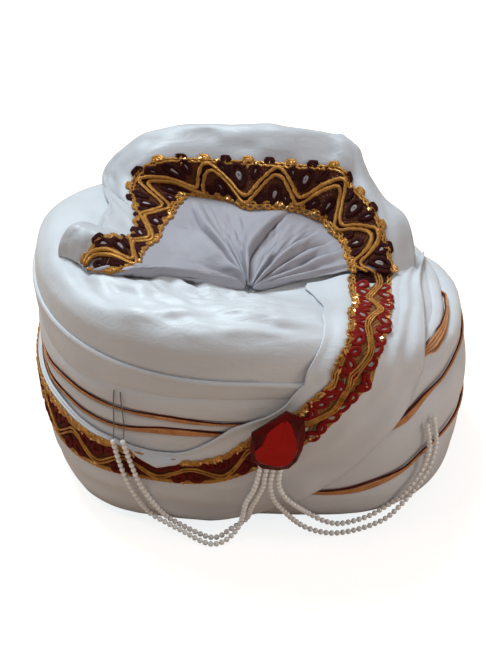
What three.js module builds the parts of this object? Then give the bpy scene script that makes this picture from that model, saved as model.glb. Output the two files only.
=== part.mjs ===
import * as THREE from "three";

// Tied turban. Millimetres, +Z up, front faces -Y, floor at z = 0.
// a: azimuth in degrees round the head, 0 front, 90 right, 180 back, -90 left.
// v: height up the cloth, 0 rim, 1 top of the wall, 2 the gather on the crown.
const RAD = Math.PI / 180;
const SEGMENTS = 36;          // stations round every closed loop
const HALF_WIDTH = 132;       // side reach of the wall
const FRONT_REACH = 147.5;
const BACK_REACH = 129;
const CORNER_LOW = 3.18;      // squareness of the front plan at the rim
const CORNER_HIGH = 2.13;     // squareness of the front plan at the top
const CORNER_BACK = 2;
const REAR_CUT = [0.12, 0.05];   // how far the right and left rear corners are cut back
const GATHER = [-1.3, -60, 120.4];
const SIDES = {               // front, right, back, left
  top: [115.5, 83, 102, 116.5],
  puff: [26, 11, 23, 22.5],
};
// share of the reach at each height: v, front, right, back, left
const WALL = [
  [0.0, 0.720, 0.867, 0.740, 0.840],
  [0.1, 0.788, 0.930, 0.840, 0.862],
  [0.25, 0.840, 0.955, 0.920, 0.897],
  [0.5, 0.875, 0.985, 0.970, 0.927],
  [0.75, 0.920, 0.985, 0.980, 0.942],
  [1.0, 0.950, 0.960, 0.920, 0.960],
];
// height v of each crease by azimuth: a, crease 1, 2, 3, 4, top edge
const CREASES = [
  [-180, 0.32, 0.62, 0.72, 0.83, 1.00],
  [-150, 0.30, 0.62, 0.72, 0.83, 1.00],
  [-120, 0.30, 0.61, 0.71, 0.83, 1.00],
  [-90, 0.30, 0.607, 0.70, 0.83, 1.00],
  [-62, 0.30, 0.608, 0.703, 0.835, 1.00],
  [-52, 0.30, 0.627, 0.730, 0.825, 1.00],
  [-44, 0.29, 0.619, 0.730, 0.828, 1.00],
  [-33, 0.28, 0.626, 0.736, 0.861, 1.00],
  [-22, 0.27, 0.666, 0.747, 0.873, 1.00],
  [-10, 0.26, 0.674, 0.742, 0.891, 1.00],
  [0, 0.26, 0.670, 0.742, 0.893, 1.00],
  [15, 0.278, 0.640, 0.760, 0.924, 1.035],
  [25, 0.280, 0.640, 0.800, 0.960, 1.075],
  [33, 0.320, 0.666, 0.880, 1.000, 1.12],
  [40, 0.366, 0.740, 0.945, 1.035, 1.16],
  [46, 0.444, 0.822, 1.010, 1.065, 1.19],
  [54, 0.488, 0.873, 1.037, 1.095, 1.22],
  [63, 0.505, 0.922, 1.060, 1.125, 1.24],
  [75, 0.505, 0.932, 1.077, 1.148, 1.265],
  [90, 0.480, 0.920, 1.085, 1.160, 1.275],
  [105, 0.430, 0.870, 1.055, 1.125, 1.24],
  [125, 0.380, 0.780, 0.940, 1.030, 1.14],
  [150, 0.340, 0.680, 0.800, 0.900, 1.03],
  [180, 0.320, 0.620, 0.720, 0.830, 1.00],
];
// how high each crease meets the lining
const ROOT = [2.3, 18, 34, 52];
const CREASE_DEPTH = [0, 4.2, 4.2, 4.2, 2.6, 0.8];
const SHOULDER = 3.2;         // width of the rounded lip beside a crease
const SKIRT = 8.6;            // depth of the two upper wraps over the crown
const GAP = 0.25;             // half of the space between neighbours
const PART = 0.003;           // the same, as a share of the height v
const UNDER = 0.2;            // wraps stand this much inside the outer surface
const SKIRT_DROP = 0.1;       // v from the top edge to the full skirt depth
const CROWN_ROWS = [0.95, 0.8, 0.62, 0.45, 0.3, 0.18, 0.1];
const HOLLOW = { x: 79, y: 98, straight: 62, top: 104, wall: 2 };
// brim of the lining: how far the lowest wrap lifts off it, by azimuth
const LIFT = [[-180, 0], [-60, 0], [-40, 0], [-30, 0.4], [-21, 2.6], [-12, 0.3], [14, 0.2],
  [27, 2.4], [38, 0.2], [60, 0], [180, 0]];
// sash by station: hem edge a v, lace inner a v, lace outer a v, outer edge a v
const SASH = [
  [90.0, 1.742, 92.5, 1.558, 95.0, 1.312, 106.0, 1.092],
  [78.0, 1.738, 83.4, 1.565, 83.4, 1.345, 94.5, 1.195],
  [43.0, 1.580, 60.0, 1.515, 67.9, 1.325, 80.7, 1.215],
  [26.5, 1.340, 35.7, 1.330, 50.5, 1.235, 62.0, 1.160],
  [21.2, 1.195, 27.5, 1.185, 38.7, 1.115, 48.5, 1.050],
  [18.0, 1.095, 23.3, 1.090, 32.6, 1.040, 43.2, 0.970],
  [15.1, 1.036, 19.4, 1.030, 28.4, 0.985, 38.9, 0.822],
  [12.2, 0.998, 16.1, 0.990, 24.4, 0.900, 33.2, 0.666],
  [10.1, 0.952, 13.1, 0.932, 20.6, 0.800, 26.4, 0.480],
  [8.2, 0.891, 10.4, 0.862, 17.0, 0.710, 20.2, 0.358],
  [6.0, 0.845, 7.4, 0.800, 13.0, 0.635, 14.6, 0.272],
  [3.4, 0.810, 4.0, 0.752, 8.4, 0.556, 9.4, 0.200],
  [0.5, 0.784, 0.2, 0.705, 3.4, 0.482, 3.5, 0.140],
  [-2.4, 0.758, -3.7, 0.630, -1.6, 0.425, -3.4, 0.100],
  [-5.0, 0.730, -7.4, 0.570, -7.9, 0.380, -9.5, 0.070],
  [-10.9, 0.632, -11.8, 0.535, -12.9, 0.366, -14.6, 0.050],
  [-16.8, 0.560, -16.9, 0.520, -17.5, 0.362, -19.0, 0.045],
  [-22.4, 0.540, -22.4, 0.520, -22.4, 0.362, -23.5, 0.045],
  [-28.0, 0.540, -28.0, 0.528, -27.6, 0.360, -28.2, 0.045],
  [-34.6, 0.556, -34.6, 0.547, -34.0, 0.348, -34.0, 0.045],
  [-40.3, 0.564, -40.3, 0.552, -40.8, 0.337, -40.5, 0.045],
  [-45.8, 0.580, -45.8, 0.566, -46.6, 0.330, -46.0, 0.045],
  [-52.9, 0.604, -52.9, 0.590, -54.0, 0.335, -53.5, 0.045],
  [-62.8, 0.606, -62.8, 0.594, -62.6, 0.344, -62.5, 0.045],
  [-78, 0.605, -78, 0.593, -78, 0.352, -78, 0.050],
  [-96, 0.602, -96, 0.590, -96, 0.358, -96, 0.060],
  [-116, 0.600, -116, 0.588, -116, 0.362, -116, 0.070],
  [-138, 0.590, -138, 0.578, -138, 0.360, -138, 0.090],
  [-160, 0.565, -160, 0.553, -160, 0.350, -160, 0.120],
  [-182, 0.530, -182, 0.520, -182, 0.338, -182, 0.160],
  [-200, 0.478, -200, 0.468, -200, 0.340, -200, 0.220],
  [-218, 0.425, -218, 0.417, -218, 0.345, -218, 0.285],
  [-234, 0.392, -234, 0.386, -234, 0.366, -234, 0.345],
];
const SASH_UNDER = 0.9;       // sash underside above the wraps
const SASH_THICK = 2.0;
const LACE_GAP = 0.4;
const LACE_THICK = 1.0;
// sash stations of the lace: its start, where two lengths meet under the stone, its end
const LACE_START = 0.3;
const LACE_MEET = 10;
const LACE_SPLIT = 0.06;
const LACE_END = 30.5;
// hood by station: foot a v, lace top x y z, rim x y z
const HOOD = [
  [-56, 1.200, -92, -66, 140, -97, -60, 137],
  [-53, 1.260, -87, -66, 149, -97, -58, 150],
  [-51, 1.330, -81, -64, 158, -91, -55, 158],
  [-54, 1.430, -73, -54, 152, -82, -44, 152],
  [-75, 1.535, -67, -32, 139, -78, -22, 138],
  [-92, 1.600, -66, -18, 139, -76, -6, 134],
  [-120, 1.570, -67, -3, 142, -79, 9, 137],
  [-134, 1.520, -72, 10, 144, -82, 22, 142],
  [-145, 1.475, -71, 24, 149, -82, 36, 147],
  [-150, 1.478, -64, 28, 156, -74, 41, 156],
  [-155, 1.495, -53, 30, 160, -61, 43, 165],
  [-163, 1.522, -37, 31, 160, -42, 43, 170],
  [-171, 1.550, -21, 32, 159, -23, 44, 171],
  [-180, 1.600, -3, 28, 160, -4, 40, 172],
  [-193, 1.577, 15, 28, 159, 15, 39, 173],
  [-203, 1.540, 31, 29, 157, 33, 40, 170],
  [-211, 1.502, 45, 30, 156, 47, 41, 167],
  [-219, 1.480, 56, 28, 155, 56, 39, 166],
  [-225, 1.452, 61, 24, 147, 63, 36, 160],
  [-232, 1.475, 68, 15, 143, 70, 28, 147],
  [-240, 1.475, 75, 6, 136, 79, 19, 135],
  [-249, 1.517, 80, -6, 128, 90, 6, 129],
  [-258, 1.545, 83, -16, 122, 95, -3, 123],
  [-265, 1.562, 84, -22, 114, 97, -10, 119],
];
const HOOD_COLUMNS = 36;
const HOOD_THICK = 2.0;
const HOOD_CLEAR = 1.1;       // hood underside above the crown
const HEM_BACK = 7;           // how far the rim rolls back
const HEM_DROP = 11;
const PLEATS = 15;
const PLEAT_RISE = 1.6;
// outline of the stone, right and up from its middle
const STONE = [
  [4.9, 20.3], [13.5, 14.6], [14.5, 5], [13.2, -5.3], [10.6, -13.6], [6.6, -18.2],
  [0.9, -19.1], [-7.5, -16.9], [-12.8, -11.1], [-14.1, -3.6], [-13.3, 6.7], [-5, 12.8],
];
const STONE_AT = { a: 6, v: 0.74, out: 7, tip: -5 };
const STONE_DEPTH = { plate: 1.6, gap: 0.3, girdle: 3.0, table: 6.4 };
const TABLE = { scale: 0.74, right: -1.6, up: 0.5 };
const BEAD = 3;
// strands, each point: a v and height off the cloth, or x y z in space
const STRANDS = {
  string_left_outer: [["c", -33.3, 0.585, 6.6], ["c", -32.5, 0.475, 6.8],
    ["c", -31.1, 0.359, 6.6], ["c", -29.3, 0.235, 5.6], ["c", -27.6, 0.140, 5.4],
    ["p", -46.5, -124.5, 10.6], ["p", -37, -127.4, 6.6], ["p", -27, -130.8, 2.6],
    ["p", -20.5, -132.3, 1.75], ["p", -14.5, -130.6, 2.4], ["p", -9.2, -128, 5.8],
    ["p", -5.2, -126.8, 13.0], ["c", -1.2, 0.280, 6.6], ["c", 0.5, 0.347, 6.8],
    ["c", 1.6, 0.415, 7.0], ["c", 2.2, 0.478, 7.0], ["c", 2.8, 0.560, 6.2]],
  string_left_inner: [["c", -30.8, 0.603, 6.6], ["c", -29.6, 0.481, 6.8],
    ["c", -28.0, 0.357, 6.6], ["c", -25.6, 0.225, 5.6], ["c", -23.4, 0.125, 5.4],
    ["p", -36.8, -122, 5.6], ["p", -29, -124.2, 2.6], ["p", -22.6, -126.6, 1.75],
    ["p", -17.4, -126.2, 1.8], ["p", -10.6, -122.8, 4.6], ["p", -2.6, -121.2, 10.0],
    ["c", 0.4, 0.232, 5.4], ["c", 2.0, 0.315, 6.2], ["c", 3.5, 0.395, 6.8],
    ["c", 3.9, 0.478, 7.0], ["c", 4.6, 0.560, 6.2]],
  string_right_inner: [["c", 8.1, 0.560, 6.2], ["c", 7.6, 0.478, 7.0], ["c", 7.6, 0.400, 6.8],
    ["c", 9.3, 0.320, 6.2], ["c", 12.6, 0.245, 5.2], ["p", 33.0, -120.6, 13.6], ["p", 40.0, -120.4, 8.8],
    ["p", 47.6, -119.4, 5.4], ["p", 54.5, -117.8, 4.8], ["p", 66.5, -115.2, 7.2],
    ["p", 75.5, -112.8, 11.8], ["c", 40.3, 0.215, 3.0], ["c", 43.3, 0.300, 2.7],
    ["c", 45.4, 0.385, 2.7], ["c", 46.2, 0.500, 2.7], ["c", 44.8, 0.655, 2.7]],
  string_right_outer: [["c", 6.3, 0.560, 6.2], ["c", 5.7, 0.478, 7.0], ["c", 5.4, 0.390, 6.8],
    ["c", 6.4, 0.305, 6.2], ["c", 9.0, 0.220, 5.6], ["p", 28.0, -124.0, 8.6], ["p", 36.2, -124.4, 4.6],
    ["p", 46, -123.4, 1.85], ["p", 56, -121.6, 1.75], ["p", 68, -118.4, 3.4],
    ["p", 77.5, -116.2, 7.8], ["c", 42.2, 0.185, 3.4], ["c", 45.4, 0.270, 2.9],
    ["c", 47.7, 0.370, 2.7], ["c", 48.6, 0.500, 2.7], ["c", 47.0, 0.680, 2.7]],
};
const THREADS = {
  thread_left_outer: [["c", -33.6, 0.842, 0.1], ["c", -33.8, 0.79, 0.6], ["c", -34.0, 0.64, 2.0]],
  thread_left_inner: [["c", -31.9, 0.842, 0.1], ["c", -31.7, 0.79, 0.6], ["c", -31.2, 0.66, 2.0]],
};
// middle of the whole object in plan, moved to the frame's origin
const MIDDLE = [1.4, -11.3];
const COLOURS = {
  satin: 0xe6e8ec, lining: 0x5a1420, gold: 0xc08a4a, lace: 0x5a150c, stone: 0xa01410,
  plate: 0xb0a070, pearl: 0xe2dcd2,
};

// Number helpers
const clamp = (x, lo, hi) => Math.min(hi, Math.max(lo, x));
const add = (p, q, k = 1) => p.map((x, i) => x + q[i] * k);
const mix = (p, q, t) => p.map((x, i) => x + (q[i] - x) * t);
const scaled = (p, k) => p.map((x) => x * k);
const unit = (p) => scaled(p, 1 / (Math.hypot(...p) || 1));
function cross(p, q) {
  return [p[1] * q[2] - p[2] * q[1], p[2] * q[0] - p[0] * q[2], p[0] * q[1] - p[1] * q[0]];
}

// Smooth reading of one column of a table against its first column
function read(rows, column, x) {
  const n = rows.length;
  const at = (i) => rows[i][column];
  let i = 0;
  while (i < n - 2 && x > rows[i + 1][0]) i += 1;
  const slope = (k) => (at(k + 1) - at(k)) / (rows[k + 1][0] - rows[k][0]);
  const tangent = (k) => (slope(Math.max(k - 1, 0)) + slope(Math.min(k, n - 2))) / 2;
  const h = rows[i + 1][0] - rows[i][0];
  const t = clamp((x - rows[i][0]) / h, 0, 1);
  const u = 1 - t;
  return at(i) * u * u * (1 + 2 * t) + at(i + 1) * t * t * (1 + 2 * u)
    + h * t * u * (tangent(i) * u - tangent(i + 1) * t);
}
const turn = (a) => ((a + 540) % 360 + 360) % 360 - 180;
const crease = (a, k) => read(CREASES, k, turn(a));

// Outer surface of the wound cloth
function weights(a) {
  const s = Math.sin(a * RAD), c = Math.cos(a * RAD);
  return [Math.max(c, 0) ** 2, Math.max(s, 0) ** 2, Math.max(-c, 0) ** 2, Math.max(-s, 0) ** 2];
}
const side = (list, a) => weights(a).reduce((sum, w, i) => sum + w * list[i], 0);

function wall(a, v) {
  const s = Math.sin(a * RAD), c = Math.cos(a * RAD);
  const t = clamp(v, 0, 1);
  const share = side([1, 2, 3, 4].map((k) => read(WALL, k, t)), a);
  const n = c > 0 ? CORNER_LOW * (1 - t) + CORNER_HIGH * t : CORNER_BACK;
  const cut = 1 - (c < 0 ? REAR_CUT[s > 0 ? 0 : 1] * (2 * s * c) ** 2 : 0);
  const k = (Math.abs(s) ** n + Math.abs(c) ** n) ** (-1 / n) * share * cut;
  return [HALF_WIDTH * k * s, -(c > 0 ? FRONT_REACH : BACK_REACH) * k * c, side(SIDES.top, a) * t];
}

function cloth(a, v) {
  if (v <= 1) return wall(a, v);
  const u = clamp(v - 1, 0, 1);
  const edge = wall(a, 1);
  const lift = side(SIDES.puff, a) * Math.sin(Math.PI * u ** 0.55) ** 0.85;
  return [GATHER[0] + (edge[0] - GATHER[0]) * (1 - u), GATHER[1] + (edge[1] - GATHER[1]) * (1 - u),
    edge[2] * (1 - u) + GATHER[2] * u + (u >= 1 ? 0 : lift)];
}

// Point at a given height off the cloth, measured along its normal
function off(a, v, out) {
  const d = 0.02;
  const lo = Math.max(v - d, 0), hi = Math.min(v + d, 1.97);
  const up = add(cloth(a, hi), cloth(a, lo), -1);
  const round = add(cloth(a + 1.5, v), cloth(a - 1.5, v), -1);
  return add(cloth(a, v), unit(cross(round, up)), out);
}

// Height of the crown under a point in plan
function crownHeight(x, y) {
  const dx = x - GATHER[0], dy = y - GATHER[1];
  const reach = Math.hypot(dx, dy);
  let best = -1, height = 0;
  for (let a = -180; a < 180; a += 2) {
    const edge = wall(a, 1);
    const ex = edge[0] - GATHER[0], ey = edge[1] - GATHER[1];
    const length = Math.hypot(ex, ey);
    const match = (dx * ex + dy * ey) / (reach * length);
    if (match > best) {
      best = match;
      height = reach < length ? cloth(a, 2 - reach / length)[2] : 0;
    }
  }
  return height;
}

// Mesh helpers
function mesh(name, points, faces, colour) {
  const geometry = new THREE.BufferGeometry();
  geometry.setAttribute("position", new THREE.Float32BufferAttribute(points.flat(), 3));
  geometry.setIndex(faces.flat());
  geometry.computeVertexNormals();
  const made = new THREE.Mesh(geometry, new THREE.MeshStandardMaterial({ color: colour, roughness: 0.6 }));
  made.name = name;
  return made;
}

// Closed loop of equal sections; flip picks the other diagonal
function loop(name, sections, colour, flip = false) {
  const n = sections.length, m = sections[0].length;
  const faces = [];
  for (let i = 0; i < n; i += 1) {
    for (let j = 0; j < m; j += 1) {
      const p = i * m + j, q = ((i + 1) % n) * m + j;
      const r = ((i + 1) % n) * m + (j + 1) % m, s = i * m + (j + 1) % m;
      if (flip) faces.push([p, q, s], [q, r, s]);
      else faces.push([p, q, r], [p, r, s]);
    }
  }
  return mesh(name, sections.flat(), faces, colour);
}

// Bowl or cap: rings with a point at each end
function capped(name, first, rings, last, colour) {
  const n = rings[0].length, faces = [];
  const points = [first, ...rings.flat(), last];
  const end = points.length - 1;
  for (let i = 0; i < n; i += 1) {
    const k = (i + 1) % n;
    faces.push([0, 1 + i, 1 + k]);
    for (let r = 0; r < rings.length - 1; r += 1) {
      const p = 1 + r * n + i, q = 1 + r * n + k, s = p + n, t = q + n;
      faces.push([p, s, t], [p, t, q]);
    }
    faces.push([end, end - n + k, end - n + i]);
  }
  return mesh(name, points, faces, colour);
}

// Slab between two grids of points, top grid first
function slab(name, top, bottom, colour) {
  const n = top.length, m = top[0].length, faces = [];
  const t = (i, j) => i * m + j, b = (i, j) => n * m + i * m + j;
  for (let i = 0; i < n - 1; i += 1) {
    for (let j = 0; j < m - 1; j += 1) {
      faces.push([t(i, j), t(i + 1, j), t(i + 1, j + 1)], [t(i, j), t(i + 1, j + 1), t(i, j + 1)]);
      faces.push([b(i, j), b(i + 1, j + 1), b(i + 1, j)], [b(i, j), b(i, j + 1), b(i + 1, j + 1)]);
    }
    faces.push([t(i, 0), b(i, 0), b(i + 1, 0)], [t(i, 0), b(i + 1, 0), t(i + 1, 0)]);
    faces.push([t(i, m - 1), t(i + 1, m - 1), b(i + 1, m - 1)], [t(i, m - 1), b(i + 1, m - 1), b(i, m - 1)]);
  }
  for (let j = 0; j < m - 1; j += 1) {
    faces.push([t(0, j), t(0, j + 1), b(0, j + 1)], [t(0, j), b(0, j + 1), b(0, j)]);
    faces.push([t(n - 1, j), b(n - 1, j), b(n - 1, j + 1)], [t(n - 1, j), b(n - 1, j + 1), t(n - 1, j + 1)]);
  }
  return mesh(name, [...top.flat(), ...bottom.flat()], faces, colour);
}

// Round cord along points, made as a swept circle
function tube(name, points, width, sides, steps, colour) {
  const curve = new THREE.CatmullRomCurve3(points.map((p) => new THREE.Vector3(...p)), false, "centripetal");
  const shape = new THREE.Shape();
  shape.moveTo(width / 2, 0);
  for (let i = 1; i < sides; i += 1) {
    const turned = (i / sides) * 2 * Math.PI;
    shape.lineTo(Math.cos(turned) * width / 2, Math.sin(turned) * width / 2);
  }
  shape.closePath();
  const geometry = new THREE.ExtrudeGeometry(shape, { steps, extrudePath: curve, bevelEnabled: false });
  const made = new THREE.Mesh(geometry, new THREE.MeshStandardMaterial({ color: colour, roughness: 0.35 }));
  made.name = name;
  return made;
}

const stations = Array.from({ length: SEGMENTS }, (_, i) => -180 + (360 * i) / SEGMENTS);

// Lining: a thin cap with a narrow brim the lowest wrap stands on
function hollow(a, z, grow) {
  const w = wall(a, 0);
  const d = unit([w[0] / HOLLOW.x, w[1] / HOLLOW.y, 0]);
  const rise = clamp((z - HOLLOW.straight) / (HOLLOW.top + grow - HOLLOW.straight), 0, 1);
  const k = Math.sqrt(1 - rise * rise);
  return [d[0] * (HOLLOW.x + grow) * k, d[1] * (HOLLOW.y + grow) * k, z];
}
const DOME_ROWS = [0.4, 0.72, 0.93];      // shares of the dome rise
const domeHeights = (grow) => DOME_ROWS.map((s) => mix([HOLLOW.straight], [HOLLOW.top + grow], s)[0]);
const BRIM = { share: 0.972, thick: 1.9 };

function makeLining() {
  const t = HOLLOW.wall;
  const ring = (z, grow) => stations.map((a) => hollow(a, z, grow));
  const brim = (z) => stations.map((a) => add(scaled(wall(a, 0), BRIM.share), [0, 0, z]));
  const rings = [
    ...domeHeights(t).reverse().map((z) => ring(z, t)),
    ring(HOLLOW.straight, t), ring(BRIM.thick, t), brim(BRIM.thick), brim(0),
    ring(0, 0), ring(HOLLOW.straight, 0),
    ...domeHeights(0).map((z) => ring(z, 0)),
  ];
  return capped("lining", [0, 0, HOLLOW.top + t], rings, [0, 0, HOLLOW.top], COLOURS.lining);
}

// Crown surface: a step down to the edge of the top wrap, then its skirt
const OVER_LINING = HOLLOW.wall + 0.5;
const EDGE_DEPTH = 3.4;
const EDGE_STEP = 0.05;       // v over which the step is made
function crownPoint(a, u) {
  const edge = crease(a, 5);
  const v = Math.max(1 + u, edge + EDGE_STEP + (u - CROWN_ROWS[CROWN_ROWS.length - 1]) * 0.9);
  return off(a, v, -EDGE_DEPTH * clamp(1 - (v - edge) / EDGE_STEP, 0, 1));
}

// Ruled face between two wraps: outer point on the cloth, root on the lining
function root(a, k, shift) {
  return add(hollow(a, ROOT[k], OVER_LINING), [0, 0, shift]);
}
function ruled(a, k, deep, shift) {
  const outer = off(a, crease(a, k) + shift * PART / GAP, -CREASE_DEPTH[k] - UNDER);
  const inner = root(a, k, shift);
  return add(outer, unit(add(inner, outer, -1)), deep - CREASE_DEPTH[k] - UNDER);
}

function makeCrown() {
  const ring = (at) => stations.map(at);
  const rings = [
    ...CROWN_ROWS.map((u) => ring((a) => crownPoint(a, u))),
    ring((a) => off(a, crease(a, 5), -EDGE_DEPTH)),
    ring((a) => off(a, crease(a, 5) - SKIRT_DROP, -SKIRT - 1)),
    ring((a) => ruled(a, 3, SKIRT + 1.2, GAP)),
    ring((a) => root(a, 3, GAP)),
    ...[HOLLOW.straight, ...domeHeights(OVER_LINING)].map((z) => ring((a) => hollow(a, z, OVER_LINING))),
  ];
  return capped("crown", cloth(0, 2), rings, [0, 0, HOLLOW.top + OVER_LINING], COLOURS.satin);
}

// Outer side of the wrap between crease k and crease k + 1, low to high
function wrapOuter(a, k, rise) {
  const lo = k === 0 ? 0 : crease(a, k), hi = crease(a, k + 1);
  const lip = Math.min(SHOULDER / side(SIDES.top, a), (hi - lo) * 0.3);
  const deepLo = CREASE_DEPTH[k], deepHi = CREASE_DEPTH[k + 1];
  const rows = [
    [lo + (k > 0 ? PART : 0), deepLo], [lo + lip, UNDER + deepLo * 0.25],
    [lo + (hi - lo) * 0.35, 0], [lo + (hi - lo) * 0.68, 0],
    [hi - lip, UNDER + deepHi * 0.25], [hi - (k < 4 ? PART : 0), deepHi],
  ];
  const points = rows.map(([v, deep]) => off(a, v, -deep - UNDER));
  if (k > 0) return points;
  const floor = ROOT[0] + rise;
  return points.map(([x, y, z], j) => [x, y, Math.max(z, floor) + (j === 1 ? rise * 0.4 : 0)]);
}

// Inner side of the same wrap, high to low
function wrapInner(a, k, rise) {
  if (k === 0) return [root(a, 1, -GAP), root(a, 0, rise)];
  if (k < 3) return [root(a, k + 1, -GAP), root(a, k, GAP)];
  const lo = crease(a, k), hi = crease(a, k + 1);
  if (k === 3) return [off(a, hi - PART, 0.8 - SKIRT), ruled(a, 3, SKIRT - 0.3, GAP)];
  const foot = Math.min(lo + PART, hi - SKIRT_DROP - PART);
  return [off(a, hi, 0.5 - EDGE_DEPTH), off(a, hi - SKIRT_DROP, UNDER - SKIRT), off(a, foot, 0.8 - SKIRT)];
}

// One wound layer
function makeWrap(k) {
  const sections = stations.map((a) => {
    const rise = k === 0 ? Math.max(read(LIFT, 1, turn(a)), 0) : 0;
    return [...wrapOuter(a, k, rise), ...wrapInner(a, k, rise)];
  });
  return loop(`wrap_${k + 1}`, sections, COLOURS.satin, k % 2 === 1);
}

// Piping in crease k
const PIPING = { root: 3.6, side: 1.75, crest: 0.5 };
function makeTrim(k) {
  const sections = stations.map((a) => {
    const v = crease(a, k);
    const below = (v - crease(a, k - 1)) * 0.3;
    const above = (crease(a, k + 1) - v) * 0.3;
    const half = 0.6 * Math.min(SHOULDER / side(SIDES.top, a), k === 1 ? 1 : below, above);
    return [off(a, v, -PIPING.root), off(a, v - half, -PIPING.side), off(a, v, -PIPING.crest),
      off(a, v + half, -PIPING.side)];
  });
  return loop(`trim_${k}`, sections, COLOURS.gold);
}

// Sash and its lace, both laid over the wraps
const SASH_ROWS = SASH.map((row, i) => [i, ...row]);
function sashPoint(x, across, out) {
  const k = clamp(Math.floor(across), 0, 2), t = across - k;
  const a = read(SASH_ROWS, 1 + 2 * k, x) * (1 - t) + read(SASH_ROWS, 3 + 2 * k, x) * t;
  const v = read(SASH_ROWS, 2 + 2 * k, x) * (1 - t) + read(SASH_ROWS, 4 + 2 * k, x) * t;
  return off(a, v, out);
}
function ribbon(name, from, to, across, low, high, colour) {
  const steps = [from];
  for (let x = Math.floor(from * 2 + 1) / 2; x < to - 0.05; x += 0.5) steps.push(x);
  steps.push(to);
  const grid = (out) => steps.map((x) => across.map((c) => sashPoint(x, c, out)));
  return slab(name, grid(high), grid(low), colour);
}

// Hood: fan from the gather to the foot, then lace wall, margin and rolled hem
const HOOD_ROWS = HOOD.map((row, i) => [i, ...row]);
function hoodColumns() {
  const columns = [];
  for (let i = 0; i < HOOD_COLUMNS; i += 1) {
    const x = (i / (HOOD_COLUMNS - 1)) * (HOOD.length - 1);
    const [a, v] = [1, 2].map((c) => read(HOOD_ROWS, c, x));
    const top = [3, 4, 5].map((c) => read(HOOD_ROWS, c, x));
    const rim = [6, 7, 8].map((c) => read(HOOD_ROWS, c, x));
    const phase = (i / (HOOD_COLUMNS - 1)) * 2 * Math.PI * PLEATS;
    const pleat = (s) => PLEAT_RISE * (0.5 + 0.5 * Math.cos(phase)) * s * (1 - s) * 3;
    const lift = HOOD_CLEAR + HOOD_THICK / 2;
    const foot = off(a, v, lift + 1.2);
    const fan = [0.12, 0.34, 0.6, 0.84].map((s) => off(a, 2 + (v - 2) * s, lift + pleat(s) + 0.6 * s));
    const back = unit([rim[0] - top[0], rim[1] - top[1], 0]);
    const standing = [mix(foot, top, 0.5), top, rim,
      add(add(rim, back, HEM_BACK), [0, 0, -1.5]), add(add(rim, back, HEM_BACK + 2), [0, 0, -HEM_DROP])];
    const raised = standing.map(([px, py, pz]) => [px, py, Math.max(pz, crownHeight(px, py) + 3.2)]);
    columns.push([...fan, foot, ...raised]);
  }
  return columns;
}
function normals(grid) {
  return grid.map((column, i) => column.map((_, j) => {
    const p = grid[Math.max(i - 1, 0)][j], q = grid[Math.min(i + 1, grid.length - 1)][j];
    const r = column[Math.max(j - 1, 0)], s = column[Math.min(j + 1, column.length - 1)];
    return unit(cross(add(q, p, -1), add(s, r, -1)));
  }));
}
function makeHood() {
  const grid = hoodColumns(), n = normals(grid);
  const sheet = (k) => grid.map((column, i) => column.map((p, j) => add(p, n[i][j], k)));
  const sign = n[4][2][2] > 0 ? 1 : -1;
  const hood = slab("hood", sheet(sign * HOOD_THICK / 2), sheet(-sign * HOOD_THICK / 2), COLOURS.satin);
  const rows = grid.map((column) => [mix(column[4], column[6], 0.03), column[5], column[6]]);
  const rn = n.map((column) => [column[4], column[5], mix(column[5], column[6], 0.5)]);
  const low = HOOD_THICK / 2 + LACE_GAP;
  const layer = (k) => rows.map((column, i) => column.map((p, j) => add(p, rn[i][j], sign * k)));
  const lace = slab("lace_hood", layer(low + LACE_THICK), layer(low), COLOURS.lace);
  return [hood, lace];
}

// Stone and its plate, on a plane in front of the lace
function stoneFrame() {
  const at = off(STONE_AT.a, STONE_AT.v, STONE_AT.out);
  const right = [Math.cos(STONE_AT.a * RAD), Math.sin(STONE_AT.a * RAD), 0];
  const level = Math.cos(STONE_AT.tip * RAD);
  const out = [right[1] * level, -right[0] * level, Math.sin(STONE_AT.tip * RAD)];
  return { at, right, out, up: cross(out, right) };
}
function makeStone() {
  const f = stoneFrame();
  const place = (x, y, z) => add(add(add(f.at, f.right, x), f.up, y), f.out, z);
  const ring = (k, z, dx = 0, dy = 0) => STONE.map(([x, y]) => place(x * k + dx, y * k + dy, z));
  const d = STONE_DEPTH;
  const base = d.plate + d.gap;
  const plateRings = [ring(0.9, d.plate), ring(0.9, 0)];
  const stoneRings = [ring(TABLE.scale, base + d.table, TABLE.right, TABLE.up), ring(1, base + d.girdle),
    ring(0.96, base)];
  return [
    capped("brooch_back", place(0, 0, d.plate), plateRings, place(0, 0, 0), COLOURS.plate),
    capped("brooch_stone", place(TABLE.right, TABLE.up, base + d.table), stoneRings, place(0, 0, base),
      COLOURS.stone),
  ];
}

// Put the outer side of every face outwards
function outward(made) {
  const g = made.geometry;
  const p = g.attributes.position, index = g.index;
  if (!index) return made;
  let volume = 0;
  const at = (i) => [p.getX(i), p.getY(i), p.getZ(i)];
  for (let i = 0; i < index.count; i += 3) {
    const [a, b, c] = [0, 1, 2].map((k) => at(index.getX(i + k)));
    const n = cross(b, c);
    volume += a[0] * n[0] + a[1] * n[1] + a[2] * n[2];
  }
  if (volume < 0) {
    for (let i = 0; i < index.count; i += 3) {
      const q = index.getX(i + 1);
      index.setX(i + 1, index.getX(i + 2));
      index.setX(i + 2, q);
    }
    g.computeVertexNormals();
  }
  return made;
}

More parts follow.
